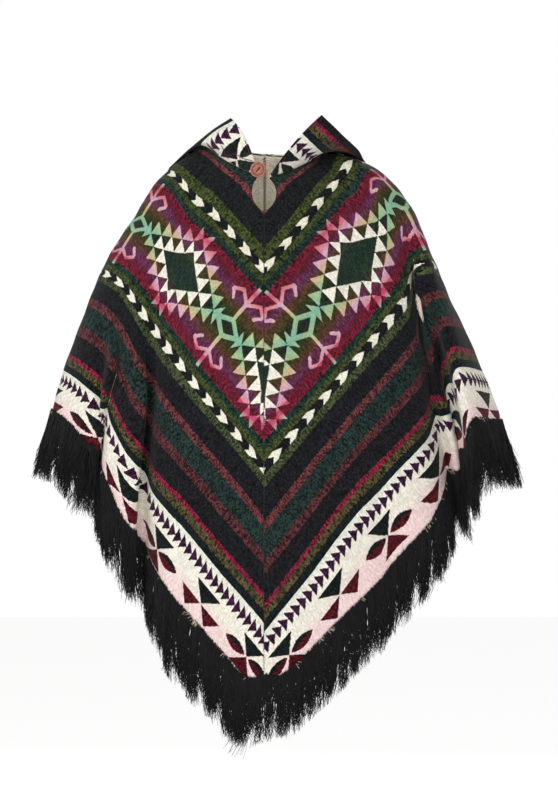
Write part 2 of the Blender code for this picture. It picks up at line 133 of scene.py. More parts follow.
# How far the cloth sags at the hem: places along it from the centre front, and the sag
# there. It starts SAG_RUN up from the hem.
HEM_SAG = {
    "right": ((0.0, 0.06, 0.12, 0.18, 0.26, 0.34, 0.42, 0.50),
              (0.0, 0.008, 0.012, 0.018, 0.026, 0.024, 0.014, 0.0)),
    "left": ((0.0, 0.06, 0.12, 0.18, 0.24, 0.29, 0.34, 0.42, 0.50),
             (0.0, 0.002, 0.006, 0.010, 0.016, 0.022, 0.020, 0.022, 0.0)),
}
SAG_RUN = 0.160
# How long the fringe's yarns are at places along the hem, as a share of YARN_LENGTH.
YARN_REACH = {
    "right": ((0.0, 0.06, 0.14, 0.26, 0.40), (0.93, 1.0, 1.13, 1.12, 1.0)),
    "left": ((0.0, 0.08, 0.16, 0.26, 0.40), (0.91, 0.88, 0.95, 0.97, 1.0)),
}

# How far the woven bands have settled down past their rings, in mm: one row for each place
# across the cloth, one column for each place along it from the centre front, both in mm.
SETTLED_ALONG = (0.0, 60.0, 120.0, 180.0, 240.0, 330.0, 420.0, 600.0)
SETTLED = {
    "right": (
        (0.0, (-7, 5, 8, 4, 4, 4, 4, 0)),
        (30.0, (-8, 7, 10, 4, 4, 4, 4, 0)),
        (60.0, (1, 6, 12, 4, 4, 4, 4, 0)),
        (120.0, (0, 4, 9, 4, 10, 8, 4, 0)),
        (180.0, (0, 0, 8, 9, 9, 4, 0, 0)),
        (240.0, (2, 0, 4, 8, 12, 14, 2, 0)),
        (300.0, (2, 3, 4, 6, 12, 14, 8, 0)),
        (360.0, (2, 4, 2, 0, -2, 0, 8, 0)),
        (420.0, (10, 9, 5, 4, 0, -3, 4, 0)),
        (470.0, (12, 11, 8, 8, 7, -3, 5, 0)),
        (540.0, (8, 10, 9, 11, 14, 9, 11, 0)),
    ),
    "left": (
        (0.0, (-7, 8, 14, 14, 10, 6, 4, 0)),
        (30.0, (-8, 11, 16, 18, 12, 6, 4, 0)),
        (60.0, (0, 6, 18, 22, 14, 8, 6, 0)),
        (120.0, (0, 6, 9, 15, 8, 8, 8, 0)),
        (180.0, (-1, 0, 4, 8, 10, 14, 14, 0)),
        (240.0, (-2, -2, 0, 2, 8, 12, 12, 0)),
        (300.0, (2, 3, 2, 3, 4, 10, 5, 0)),
        (360.0, (-1, -1, 0, -1, -3, -8, -8, 0)),
        (420.0, (0, 1, 2, 4, 3, -3, -6, 0)),
        (470.0, (0, 3, 7, 12, 13, 5, 0, 0)),
        (540.0, (0, 2, 3, 10, 19, 20, 16, 0)),
    ),
}

# The collar's upper half when it stands as a wing. Columns: side, share of its length from
# the front end to the centre back, then x, y, z of its middle line and of its top edge.
WINGS = (
    ("right", 0.00, -0.030, -0.104, 0.020, -0.054, -0.068, 0.056),
    ("right", 0.20, -0.074, -0.084, 0.016, -0.088, -0.062, 0.034),
    ("right", 0.40, -0.110, -0.022, 0.013, -0.134, -0.002, -0.001),
    ("right", 0.60, -0.118, 0.040, 0.012, -0.150, 0.062, -0.022),
    ("left", 0.00, 0.050, -0.106, 0.014, 0.093, -0.102, 0.058),
    ("left", 0.20, 0.086, -0.084, 0.010, 0.126, -0.080, 0.028),
    ("left", 0.40, 0.120, -0.030, 0.006, 0.158, -0.018, -0.002),
    ("left", 0.60, 0.118, 0.045, 0.008, 0.150, 0.070, -0.018),
)
# Where each wing's top edge lies across the bands, in m from the neck edge's zero.
WING_TOP = {"right": 0.500, "left": 0.465}
# The edge of the cloth round the open slit, from its foot to the neck edge: each place is
# how far it is from the centre front along the bands, and from the neck edge across them.
SLIT_OUTLINE = (
    (0.0000, 0.0335), (0.0110, 0.0338), (0.0220, 0.0310), (0.0300, 0.0235),
    (0.0315, 0.0140), (0.0250, 0.0000),
)
SLIT_REACH = 0.034         # how far round the slit the cloth gives

# The collar, from its front end to the centre back.
COLLAR_HALF = NECK_EDGE * (1 - SLIT_TURN)
WING_END, FALL_START = 0.36, 0.72      # shares of it where the wing ends and the fall starts
FALL_STAND, FALL_ROLL = 0.0030, 0.0045     # its height before it turns, the roll's radius
BACK_MITRE, MITRE_START = 0.29, 0.72   # how much shorter it falls at the back, from where on
COLLAR_GAP = 0.0007        # between its sewn edge and the neck edge
NECK_RUN = 0.004           # the collar's foot carries on the way this much of the panel runs
WING_TOP_RUN = 0.3         # a wing's grain runs from its tip to this share of the top edge

# How finely the cloth is made: columns round and rows across.
PANEL_COLUMNS, SLIT_ROWS, PANEL_ROWS = 264, 6, 102
COLLAR_COLUMNS, COLLAR_ROWS = 200, 44
DRAPE_RINGS, DRAPE_STEPS = 203, 1201

# The fringe's heading. Columns of its section: how far below the hem, and how plump.
HEADING_HEIGHT = 0.008
HEADING_SECTION = (
    (-0.0015, 0.0002), (0.0, 0.0008), (0.0025, 0.0011), (0.0055, 0.0009),
    (HEADING_HEIGHT, 0.0002),
)
HEADING_COLUMNS = 480

# The yarns.
YARN_LAYERS = ("under", "over")
YARNS = 3500               # in each layer of each side
YARN_LEVELS = 7
YARN_RADIUS, YARN_WIDTHS = 0.00056, (0.7, 1.2)
YARN_TAPER = ((0.0, 0.6, 1.0), (1.0, 0.90, 0.50))     # places down it, and its width there
YARN_LENGTH = 0.100
YARN_ENDS = (0.0015, 0.9985)           # the stretch of the hem that they hang from
# How far off the cloth, and how far below its edge, a layer's yarns start.
OVER_LIFT, OVER_START = (0.0006, 0.0020), (-0.0045, 0.001)
UNDER_START = 0.004
TUFTS = 88                             # along each side
NEAREST_TUFT = 0.8                     # this share joins the nearest tuft, others the next
TUFT_PULL = (0.25, 0.9)                # how far yarns draw together at their tips
# Spreads among the tufts, and among a tuft's yarns.
SWAY_SPREAD, LEAN_SPREAD, LENGTH_SPREAD = (0.0062, 0.0042), (0.0016, 0.0012), (0.065, 0.055)
SHORT_YARNS, SHORT_LENGTHS = 0.18, (0.6, 0.9)
LONGEST_YARN = 1.10
CURL_SPREAD, CURL_LEAST, CURL_MOST = 0.0066, 0.0018, 0.014
CURL_RATE, CURL_OUTWARDS = (6.0, 15.0), 0.25
# Down a yarn: how its levels crowd towards the tip, how soon it turns plumb, and the powers
# by which sway, curl and lean grow.
LEVEL_CROWDING, PLUMB_TURN = 0.85, 3.5
SWAY_POWER, CURL_POWER, LEAN_POWER = 1.7, 1.4, 1.3

# The stitches. Columns: piece, thread, place round the panels, where across them the row
# starts and ends, its pitch, its lift, and each stitch's length, radius and slant.
SEAM_END = PANEL_WIDTH - TIP_ROUND - 0.004
SEAM_STITCHES = (
    ("front_seam_stitches", "black", 0.0, 0.0360, SEAM_END, 0.0042, SOLID_WALL + 0.0001,
     0.0034, 0.00042, 0.6),
    ("back_seam_stitches", "black", 1.0, 0.0040, SEAM_END, 0.0042, SOLID_WALL + 0.0001,
     0.0034, 0.00042, 0.6),
    ("back_seam_inner_dark_stitches", "black", 1.0, 0.0030, 0.200, 0.0044, -0.0002,
     0.0078, 0.00120, 0.7),
    ("back_seam_inner_pale_stitches", "cream", 1.0, 0.0052, 0.200, 0.0044, -0.0002,
     0.0078, 0.00120, -0.7),
)
SEAM_SLOPE = 1.35          # roughly a mitred seam's length for each metre across the stripes
NECK_STITCHES, NECK_STITCH = 56, (0.0040, 0.00045, 0.5)
NECK_STITCH_START, NECK_STITCH_END = SLIT_TURN + 0.01, 0.99
NECK_STITCH_ACROSS, NECK_STITCH_LIFT = 0.0006, SOLID_WALL + 0.0002

# The button and its loop.
BUTTON_PLACE = (-0.0095, -0.1016, -0.0295)
BUTTON_THICKNESS = 0.0040
BUTTON_HOLES = ((-0.0024, -0.0026), (0.0024, 0.0026))
SHANK_END = (-0.0124, -0.0954, -0.0286)
SHANK_RADIUS = 0.0014
LOOP_RADIUS = 0.0011
LOOP_STARTS = ((0.0132, -0.0936, -0.0334), (0.0143, -0.0940, -0.0292))
LOOP_REST = 0.56           # where the loop rests between the button and its shank's end
ARC_POINTS, LEG_POINTS, PLY_POINTS = 25, 30, 260
PLY_PITCH, PLY_OFFSET, PLY_RADIUS = 0.0042, 0.00052, 0.00060
BUTTON_THREAD_RADIUS, BUTTON_THREAD_SPREAD = 0.00085, 0.35
BUTTON_THREAD_LIFT = 0.0004

# Loose dark-red threads on the collar's wings, as x and z.
RED_THREADS = {
    "right_upper": ((-0.0305, 0.0165), (-0.0268, 0.0060), (-0.0225, -0.0060)),
    "right_lower": ((-0.0690, 0.0100), (-0.0640, 0.0010), (-0.0590, -0.0060),
                    (-0.0470, -0.0040), (-0.0330, -0.0115), (-0.0190, -0.0150)),
    "left": ((0.0345, -0.0095), (0.0310, -0.0150), (0.0285, -0.0195), (0.0350, -0.0215)),
}
RED_THREAD_RADIUS, RED_THREAD_LIFT = 0.00060, 0.0006
THREAD_STEPS = 12          # between two places of a loose thread
IN_FRONT = -0.5            # a y in front of the whole poncho

# Pale thread ends along each side's hem: how many, and how they lie.
THREAD_ENDS, THREAD_BUNCHES, BUNCH_SPREAD = 90, 30, 0.0022
THREAD_END_LENGTH, THREAD_END_RADII = (0.003, 0.008), (0.00036, 0.00018)
THREAD_END_LIFT, THREAD_END_RISE = 0.0016, (0.001, 0.004)
THREAD_END_ASIDE, THREAD_END_OUTWARDS = 0.45, (0.10, 0.35)
THREAD_END_SEED = 11

# The camera, the lights and the studio floor.
CAMERA_DISTANCE = 6.0
VIEW_MIDDLE = (0.024, -0.13, -0.400)
VIEW_HEIGHT = 1.28
FILM_WIDTH = 36.0
FLOOR, FLOOR_SIZE, FLOOR_GLOW = -1.45, 12.0, 0.44
LIGHTS_AIM = (0.0, 0.0, -0.4)
LIGHTS = (                 # name, place, power in watts, size
    ("key", (-2.4, -3.4, 1.7), 74.0, 2.0),
    ("fill", (0.35, -3.6, 2.2), 42.0, 1.8),
    ("back", (0.6, 3.2, 1.6), 40.0, 2.2),
)
BACKDROP_LIGHT, BACKDROP_SEEN = 0.56, 1.0

# The woven bands, as the two warps that change places to draw the figures. Columns: where a
# band starts, in mm from the neck edge across the stripes, its dark warp, its light warp.
BANDS = (
    (0.0, "20302b", "efe9d6"),
    (20.0, "663033", "ecd5c8"),
    (30.0, "151719", "f0ead8"),
    (75.0, "38421f", "dde2bb"),
    (93.0, "121515", "ece6d4"),
    (107.0, "333d1e", "d6dbb4"),
    (118.0, "1b2d29", "a8c0ac"),
    (130.0, "68152a", "bf4a6c"),
    (147.0, "571a28", "d18288"),
    (156.5, "5c2b50", "d2a8be"),
    (167.0, "50381f", "cfae8b"),
    (184.5, "2b3419", "a6bb8c"),
    (198.5, "13221c", "7fb39a"),
    (226.5, "31361a", "a6bb8c"),
    (240.5, "523521", "cfae8b"),
    (256.0, "5c2a4d", "d2a8be"),
    (268.5, "581a26", "d18288"),
    (277.5, "68142a", "bf4a6c"),
    (295.0, "193027", "a8c0ac"),
    (306.0, "384222", "d6dbb4"),
    (318.0, "121415", "f3eee0"),
    (332.0, "3a432a", "dde2bb"),
    (345.0, "15161a", "f0ead8"),
    (382.0, "582c2e", "ecd5c8"),
    (396.0, "1b2b28", "b9d8cc"),
    (428.0, "4c2629", "ecd5c8"),
    (444.0, "16161a", "f0ead8"),
    (476.0, "731a30", "cf7a90"),
    (484.0, "474027", "e6e4c6"),
    (495.0, "101819", "d9dfd0"),
    (508.0, "34122f", "f1ecdf"),
    (540.0, "0e1715", "ece7d8"),
    (565.0, "4a0b17", "f2d6d4"),
)
COLLAR_LAST_BAND = ((565.0, "16231f", "ebe2d2"),)
FIRST_RAMP = 17            # a ramp holds 32 colours, so the bands after these have another
LAST_BAND = 20.0           # the last band's width
CREAM, CREAM_REVERSE = "efeadb", "1c2622"
DIAMOND_GREEN = "1b3028"
HEM_GROUND = 508.0         # from here on the light warp is the ground
MIDDLE_BAND = 212.5        # the line that the wide band mirrors about
WIDE_BAND = (130.0, 295.0)
WIDE_HALF, WIDE_EDGE = 76.0, 4.0       # half of it that is mottled, and how far figures pass it

# The figures' sizes in mm; x is along the stripes, y across them from the middle band.
# A diamond's rings of triangles: the first column's width, a row's height, how much of half
# the pitch the columns leave free, how many columns follow, past which number the outer ring
# has no triangle, and how many steps from the diamond's middle the two rings are.
DIAMOND_COLUMN, DIAMOND_ROW, DIAMOND_FREE = 13.0, 14.6, 38.3
DIAMOND_STEPS, LAST_COLUMN, INNER_RING, OUTER_RING = 4, 4.5, 3.0, 5.0
# The hexagon's ring, as its outline's and its hole's reach along x and y.
RING_OUTLINE, RING_HOLE = (34.0, 22.0), (18.4, 12.4)
# A spike: its slope and height, and where it starts. The stem: half its width, and likewise.
SPIKE_LINE, SPIKE_START = (-1.6, 61.3), 25.6
STEM_HALF, STEM_START = 3.1, 20.0
# A branch: slope and height of its climb and of its turn, half its thickness, its end.
BRANCH_CLIMB, BRANCH_TURN = (0.72, 52.0), (-0.64, 79.2)
BRANCH_HALF, BRANCH_END = 3.5, 37.0
# Its hook: slope and height, half its thickness, and its middle and half size in x and y.
HOOK_LINE, HOOK_HALF, HOOK_X, HOOK_Y = (1.18, 14.4), 4.4, (30.0, 7.0), (50.5, 8.5)
ARROW_BANDS = ((93.0, 107.0), (318.0, 332.0))
ARROW_LENGTH, ARROW_HEAD, ARROW_NOTCH = 27.0, 12.0, 7.5    # whole, its head, its tail's cut
ARROW_FILL = 0.94          # how much of its band an arrow fills
TOOTH_BAND = (513.0, 537.0)
TOOTH_PITCH, TOOTH_LENGTH, TOOTH_HALF = 15.6, 15.6, 12.0
FLOWER_LINE, FLOWER_PITCH = 566.5, 132.0
# A flower's triangles: their depth and slope. Between two flowers: the upper triangle's
# slope, and how far the lower two's middles are from it. A leaf: middle, half length, bow.
PETAL_DEPTH, PETAL_SLOPE, BETWEEN_SLOPE, BETWEEN_APART = 25.0, 1.2, -1.35, 28.0
LEAF_MIDDLE, LEAF_HALF, LEAF_BOW = 32.0, 27.0, 8.5
# Where the figures fall along the stripes, in mm from the mitre's zero. Columns: piece,
# which way arrows and teeth point, a hexagon's middle, hexagon to diamond, arrow pitch, an
# arrow's tail, a tooth's base, a flower's middle.
FIGURES = {
    "right": (-1.0, -120.0, 127.5, 39.0, -44.0, 3.0, -507.0),
    "left": (1.0, -124.0, 132.0, 41.5, -60.0, 3.0, -503.0),
    "collar": (1.0, -124.0, 132.0, 41.5, 0.0, 5.0, 19.0),
}
COLLAR_SEAM = 571.0        # the place in the bands of the collar's sewn edge, in mm

# The wool's patterns, in mm.
MM = 1000.0                # in a metre
WANDER_SCALE, WANDER = 0.28, 2.6       # the noise that threads wander by, and its range
THREAD_STEP = 1.3          # between the threads that draw a figure's edge
# The noise by which dark bands run into each other, its range, and how much more it is in
# the wide band.
MOTTLE_STRETCH, MOTTLE_REACH, MOTTLE_WIDE = (0.50, 0.075, 1.0), 5.0, 34.0
FLECK_ACROSS, FLECK_ALONG, FLECK_TONES = 2.0, 4.0, (0.05, 1.95)
STREAK_STRETCH = (0.62, 0.10, 0.0)
# The grooves between the threads: their pitch, where a groove starts, and the painted shade at a
# groove's middle, which also sets its height for the bump.
GRID_PITCH, GROOVE_START, THREAD_GROOVE_SHADE = 2.1, 0.30, 0.58
# How wool varies in tone. Columns: noise scale and detail, how far either side of its
# middle the noise is read, and how far the tone then goes either side of 1.
SPECKS = (0.55, 1.0, 0.18, 0.75)
BLOTCHES = (0.035, 3.0, 0.20, 0.16)
STREAKS = (1.0, 2.0, 0.16, 0.45)
# How much of that tone the light yarn and the wide band's ground keep, and what they add.
LIGHT_EVENED, WIDE_EVENED = (0.16, 0.82), (0.45, 0.55)
# The diamond's ground: its outline's slope, where its green fades, and how green it is.
GREEN_SLOPE, GREEN_REACH, GREEN_SHARE = 1.25, (50.0, 62.0), 0.72
FELT_HEIGHT = 0.6          # of the specks, against the grooves between the threads
# Other patterns, as Object coordinates are stretched for them: hairs about 1 mm across and
# 17 mm long, fibres 0.4 mm apart, and grain 3 mm long in layers of 1 mm.
HAIR_STRETCH = (900.0, 900.0, 60.0)
FIBRE_SCALE = 2600.0
GRAIN_STRETCH, GRAIN_TILT = (320.0, 320.0, 1100.0), (0.0, 0.5, 0.0)
SHELL_COLOURS = ((0.34, "5c2b20"), (0.50, "965644"), (0.68, "bd8064"))
# The button's dark ring, painted shade of a shallow groove inside the rim.
PAINTED_RING_SHADE, PAINTED_RING_SHADE_HALF = 0.0092, 0.0007     # its radius, and half its width


def ease(x):
    x = np.clip(x, 0.0, 1.0)
    return x * x * (3.0 - 2.0 * x)


def unit(vectors):
    return vectors / np.linalg.norm(vectors, axis=-1, keepdims=True)


def side_sign(side):
    return -1.0 if side == "right" else 1.0


def rows_of(table, side):
    """A table's rows for one side, without the column that names it."""
    return [row[1:] for row in table if row[0] == side]


def walked(lines):
    """How far along its line of points each point is."""
    steps = np.linalg.norm(np.diff(lines, axis=0), axis=-1)
    return np.concatenate([np.zeros_like(steps[:1]), np.cumsum(steps, axis=0)])


def spaced(line, shares):
    """The points at these shares of a line's length."""
    ways = walked(line) / walked(line)[-1]
    return np.stack([np.interp(shares, ways, line[:, axis]) for axis in range(3)], axis=-1)


def squared(vectors, run):
    """Unit vectors turned until they are square to the way that a line runs."""
    return unit(vectors - run * np.sum(vectors * run, axis=1, keepdims=True))


def through_rows(places, values, wanted):
    """Smooth curves through a table's columns."""
    places, values = np.asarray(places, float), np.asarray(values, float)
    slopes = np.gradient(values, places, axis=0)
    i = np.clip(np.searchsorted(places, wanted) - 1, 0, len(places) - 2)
    step = (places[i + 1] - places[i])[:, None]
    t = (np.asarray(wanted) - places[i])[:, None] / step
    start = (2 * t**3 - 3 * t**2 + 1) * values[i] + (t**3 - 2 * t**2 + t) * step * slopes[i]
    end = (3 * t**2 - 2 * t**3) * values[i + 1] + (t**3 - t**2) * step * slopes[i + 1]
    return start + end


def plain_rings(side, across, turns):
    """The rings before any fold. `turns` is 0 at the centre front, 1 at the side, 2 behind."""
    rows = np.array(RINGS)
    front_y, front_z, *sides, back_y, back_z, ridge = through_rows(
        rows[:, 0], rows[:, 1:], across).T[..., None]
    reach, side_z = sides[:2] if side == "right" else sides[2:]
    angle = np.where(turns <= 1.0, turns, 2.0 - turns)[None, :] * math.pi / 2
    out = np.sin(angle)
    towards_side = (1.0 - ridge) * (1.0 - np.cos(angle)) + ridge * out
    points = []
    for half, y, z in (("front", front_y, front_z), ("back", back_y, back_z)):
        start, run, share = next(row[2:] for row in LEVELLING if row[:2] == (side, half))
        climb = out + (1.0 - out) * ease((out - start) / run) * share
        points.append(np.stack(
            [reach * out, y + (SIDE_Y - y) * towards_side, z + (side_z - z) * climb], axis=-1))
    return np.where((turns <= 1.0)[None, :, None], points[0], points[1])


def outward(points, across, turns, side):
    round_it = np.gradient(points, turns, axis=1)
    down_it = np.gradient(points, across, axis=0)
    return unit(np.cross(down_it, round_it)) * side_sign(side), unit(round_it)


def press_folds(points, across, turns, side):
    out, onward = outward(points, across, turns, side)
    shift = np.zeros_like(points)
    for above, hem, start, half, depth, step, close in rows_of(FOLDS, side):
        grown = np.clip((across - start) / (PANEL_WIDTH - start), 0.0, FOLD_OVERSHOOT)[:, None]
        place = (turns[None, :] - (above + (hem - above) * grown)) / half
        bell = np.exp(-place**2) * grown**FOLD_GROWTH
        lip = LIP_PEAK * place * bell
        shift += out * (lip * step - bell * depth)[..., None]
        shift -= onward * (lip * close)[..., None]
    return points + shift


class Drape:
    """One panel's worn inner surface, looked up by share round and distance across."""

    def __init__(self, side):
        self.side = side
        self.across = np.linspace(0.0, RINGS[-1][0], DRAPE_RINGS)
        self.shares = np.linspace(0.0, 1.0, DRAPE_STEPS)
        turns = np.linspace(0.0, 2.0, DRAPE_STEPS)
        rings = plain_rings(side, self.across, turns)
        rings = press_folds(rings, self.across, turns, side)
        self.points = np.array([spaced(ring, self.shares) for ring in rings])
        for _ in range(FOLD_ROUNDING):
            inside = self.points[:, 1:-1]
            around = (self.points[:, :-2] + self.points[:, 2:]) / 2
            self.points[:, 1:-1] = (inside + around) / 2
        near_slit = np.exp(-((self.shares - SLIT_TURN) / SLIT_TURN) ** 2)[None, :]
        open_above = np.clip(1.0 - self.across / SLIT_DEPTH, 0.0, 1.0)[:, None]
        self.points[..., 0] -= side_sign(side) * SLIT_PINCH * near_slit * open_above
        self.sag_hem()
        self.press_pleats()
        self.normals = outward(self.points, self.across, self.shares, side)[0]

    def sag_hem(self):
        """Lets the cloth hang lower towards the hem, down its own surface."""
        across = self.across[:, None]
        sag = np.interp(self.shares * (NECK_EDGE + 2 * across), *HEM_SAG[self.side])
        sag *= ease((across - PANEL_WIDTH + SAG_RUN) / SAG_RUN)
        self.points += unit(np.gradient(self.points, axis=0)) * sag[..., None]

    def press_pleats(self):
        across = self.across[:, None]
        for path, half, step, close in rows_of(PLEATS, self.side):
            out, onward = outward(self.points, self.across, self.shares, self.side)
            downs, middles = np.array(path).T
            middle = np.interp(across, downs, middles)
            place = (self.shares - middle) * (NECK_EDGE + 2 * across) / half
            lip = LIP_PEAK * place * np.exp(-place**2)
            lip *= ease((across - downs[0]) / PLEAT_GROWTH)
            self.points += out * (lip * step)[..., None] - onward * (lip * close)[..., None]

    def look_up(self, grid, share, across):
        column = np.clip(share, 0.0, 1.0) * (DRAPE_STEPS - 1)
        row = np.clip(across / self.across[-1], 0.0, 1.0) * (DRAPE_RINGS - 1)
        c = np.minimum(column.astype(int), DRAPE_STEPS - 2)
        r = np.minimum(row.astype(int), DRAPE_RINGS - 2)
        fc, fr = (column - c)[..., None], (row - r)[..., None]
        upper = grid[r, c] * (1 - fc) + grid[r, c + 1] * fc
        lower = grid[r + 1, c] * (1 - fc) + grid[r + 1, c + 1] * fc
        return upper * (1 - fr) + lower * fr

    def at(self, share, across, lift=0.0):
        """Points of the inner surface, moved outwards by `lift`."""
        share, across = np.broadcast_arrays(np.asarray(share, float), np.asarray(across, float))
        moved = self.look_up(self.normals, share, across) * np.asarray(lift)[..., None]
        return self.look_up(self.points, share, across) + moved


def hem_tuck(share, across):
    """How much less deep the cloth is near the hem's two rounded corners."""
    along = np.minimum(share, 1.0 - share) * HEM_LENGTH
    corner = np.clip(1.0 - along / TIP_RUN, 0.0, 1.0) ** 2
    return TIP_ROUND * corner * np.clip(across / PANEL_WIDTH, 0.0, 1.0) ** 4


def crease_lift(side, share, across):
    """How far the low creases lift the cloth; they fade before the seams and the hem."""
    lift = np.zeros_like(share)
    girth = NECK_EDGE + 2 * across
    for share_0, across_0, share_1, across_1, half, height in rows_of(CREASES, side):
        way = np.clip((across - across_0) / (across_1 - across_0), 0.0, 1.0)
        away = (share - (share_0 + (share_1 - share_0) * way)) * girth
        lift += height * np.exp(-(away / half) ** 2) * np.sin(math.pi * way) ** CREASE_ENDS
    slack = SLACK_HEIGHT * np.prod(
        [np.sin(share * girth * a + across * b) for a, b in SLACK_WAVES], axis=0)
    seams = ease(np.minimum(share, 1.0 - share) * girth / CALM_SEAM)
    edges = ease(across / CALM_NECK) * ease((PANEL_WIDTH - across) / CALM_HEM)
    return (lift + slack) * seams * edges


def woven_places(side, share, across):
    """Each point's place on the woven cloth: along the bands, and across them."""
    along = share * (NECK_EDGE + 2 * across)
    rows, shifts = zip(*SETTLED[side])
    by_row = np.array([np.interp(along, np.array(SETTLED_ALONG) / MM, np.array(row) / MM)
                       for row in shifts])
    place = np.interp(across, np.array(rows) / MM, np.arange(len(rows)))
    lower = np.minimum(place.astype(int), len(rows) - 2)
    part = ease(place - lower)
    settled = (np.take_along_axis(by_row, lower[None], axis=0)[0] * (1.0 - part)
               + np.take_along_axis(by_row, lower[None] + 1, axis=0)[0] * part)
    return np.stack([along - across, across + settled], axis=-1)


def grid_normals(points):
    """Unit normals of a grid of points, each the sum of the faces' that meet there."""
    faces = np.cross(points[1:, 1:] - points[:-1, :-1], points[:-1, 1:] - points[1:, :-1])
    summed = np.zeros_like(points)
    for rows in (slice(None, -1), slice(1, None)):
        for columns in (slice(None, -1), slice(1, None)):
            summed[rows, columns] += unit(faces)
    return unit(summed)


def cloth_shell(name, near, far, flat, finishes, left_out=()):
    """A thin closed cloth between two grids of points.

    `near` shows the first finish and `far` the second. `flat` gives each point's place in the
    woven cloth, which becomes the UV map. The grid's faces named in `left_out` are cut away.
    """
    rows, columns = near.shape[0] - 1, near.shape[1] - 1
    bm = bmesh.new()
    bmesh.ops.create_grid(bm, x_segments=columns, y_segments=rows, size=0.5)
    place = bm.verts.layers.int.new("place")
    for vert in bm.verts:
        vert[place] = (round((vert.co.y + 0.5) * rows) * (columns + 1)
                       + round((vert.co.x + 0.5) * columns))
    dropped = [face for face in bm.faces if min(vert[place] for vert in face.verts) in left_out]
    bmesh.ops.delete(bm, geom=dropped, context="FACES")
    near_side = set(bm.verts)
    bmesh.ops.solidify(bm, geom=bm.faces[:], thickness=CLOTH)
    woven = bm.loops.layers.uv.new("woven")
    near, far, flat = near.reshape(-1, 3), far.reshape(-1, 3), flat.reshape(-1, 2)
    for face in bm.faces:
        face.material_index = 0 if any(vert in near_side for vert in face.verts) else 1
        face.smooth = True
        for loop in face.loops:
            loop[woven].uv = flat[loop.vert[place]]
    for vert in bm.verts:
        vert.co = near[vert[place]] if vert in near_side else far[vert[place]]
    if bm.calc_volume(signed=True) < 0.0:
        bmesh.ops.reverse_faces(bm, faces=bm.faces[:])
    return add_piece(name, bm, *finishes)


def put_in(name, data):
    """A new object in the scene, which stays at the origin unless it is a lamp or camera."""
    made = bpy.data.objects.new(name, data)
    bpy.context.scene.collection.objects.link(made)
    return made


def add_piece(name, bm, *finishes):
    mesh = bpy.data.meshes.new(name)
    bm.to_mesh(mesh)
    bm.free()
    for finish in finishes:
        mesh.materials.append(finish)
    piece = put_in(name, mesh)
    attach(piece, "root")
    return piece


def panel_grid():
    """Share and across of every point of a panel."""
    shares = np.linspace(0.0, 1.0, PANEL_COLUMNS + 1)
    above = np.linspace(0.0, SLIT_DEPTH, SLIT_ROWS + 1)
    below = np.linspace(SLIT_DEPTH, PANEL_WIDTH, PANEL_ROWS + 1)
    share, across = np.meshgrid(shares, np.concatenate([above, below[1:]]))
    along, across = round_slit(share * (NECK_EDGE + 2 * across), across)
    share = along / (NECK_EDGE + 2 * across)
    return share, across - hem_tuck(share, across)


def round_slit(along, across):
    """Draws the cloth's square cut at the slit to a drop-shaped opening."""
    corner = round(SLIT_TURN * PANEL_COLUMNS)
    places = np.stack([along, across], axis=-1)
    edge = np.concatenate([places[SLIT_ROWS, :corner], places[SLIT_ROWS::-1, corner]])
    outline = np.array(SLIT_OUTLINE)
    edge_ways, outline_ways = (walked(line) / walked(line)[-1] for line in (edge, outline))
    wanted = through_rows(outline_ways, outline, edge_ways)
    away = np.linalg.norm(places[:, :, None] - edge, axis=-1)
    nearest = away.argmin(axis=-1)
    give = ease(1.0 - away.min(axis=-1) / SLIT_REACH)[..., None]
    moved = places + (wanted - edge)[nearest] * give
    return moved[..., 0], moved[..., 1]


def add_panel(drape, finishes):
    side = drape.side
    share, across = panel_grid()
    outer = drape.at(share, across, SOLID_WALL + crease_lift(side, share, across))
    inner = outer - grid_normals(outer) * side_sign(side) * CLOTH
    flat = woven_places(side, share, across)
    cut_out = {row * (PANEL_COLUMNS + 1) + column
               for row in range(SLIT_ROWS)
               for column in range(round(SLIT_TURN * PANEL_COLUMNS))}
    panel = cloth_shell(f"woven_panel_{side}", outer, inner, flat, finishes, cut_out)
    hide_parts(f"panel_{side}")
    return panel


def wing_points(side, way, base, out, rise):
    """The collar as a wing: up out of the seam, then a curve through its middle to its top."""
    rows = np.array(rows_of(WINGS, side))
    middle, top = np.split(through_rows(rows[:, 0], rows[:, 1:], way), 2, axis=1)
    stood = base + out * np.minimum(rise, FALL_STAND)[..., None]
    rise = (np.maximum(rise - FALL_STAND, 0.0) / (COLLAR_HEIGHT - FALL_STAND))[..., None]
    return ((1 - rise) * (1 - 2 * rise) * stood + 4 * rise * (1 - rise) * middle
            + rise * (2 * rise - 1) * top)


def fall_points(drape, share, way, rise):
    """The collar turned down: up out of the seam, over a small roll, then down the panel."""
    straight = 1.0 - BACK_MITRE * ease((way - MITRE_START) / (1.0 - MITRE_START))
    roll = FALL_ROLL * math.pi / 2
    angle = np.clip((rise - FALL_STAND) / roll, 0.0, 1.0) * math.pi / 2
    beyond = np.maximum(rise - FALL_STAND - roll, 0.0)
    across = FALL_ROLL * (1.0 - np.cos(angle)) + beyond * straight
    lift = np.minimum(rise, FALL_STAND) + FALL_ROLL * np.sin(angle)
    return drape.at(share, across, np.broadcast_to(lift, across.shape))


def turned_down(way):
    """How far the collar has gone over from wing to turned down, at a share of its length."""
    return ease((way - WING_END) / (FALL_START - WING_END))[None, :, None]


def collar_half(drape, way):
    share = SLIT_TURN + (1.0 - SLIT_TURN) * way
    rise = np.linspace(0.0, COLLAR_HEIGHT, COLLAR_ROWS + 1)[:, None]
    edge = drape.at(share, np.zeros_like(share))
    inner = drape.at(share, np.full_like(share, NECK_RUN))
    base = edge + unit(edge - inner) * COLLAR_GAP
    out = drape.look_up(drape.normals, share, np.zeros_like(share))
    fall = fall_points(drape, share, way, rise) + (base - edge)
    wing = wing_points(drape.side, way, base, out, rise)
    return wing * (1.0 - turned_down(way)) + fall * turned_down(way)


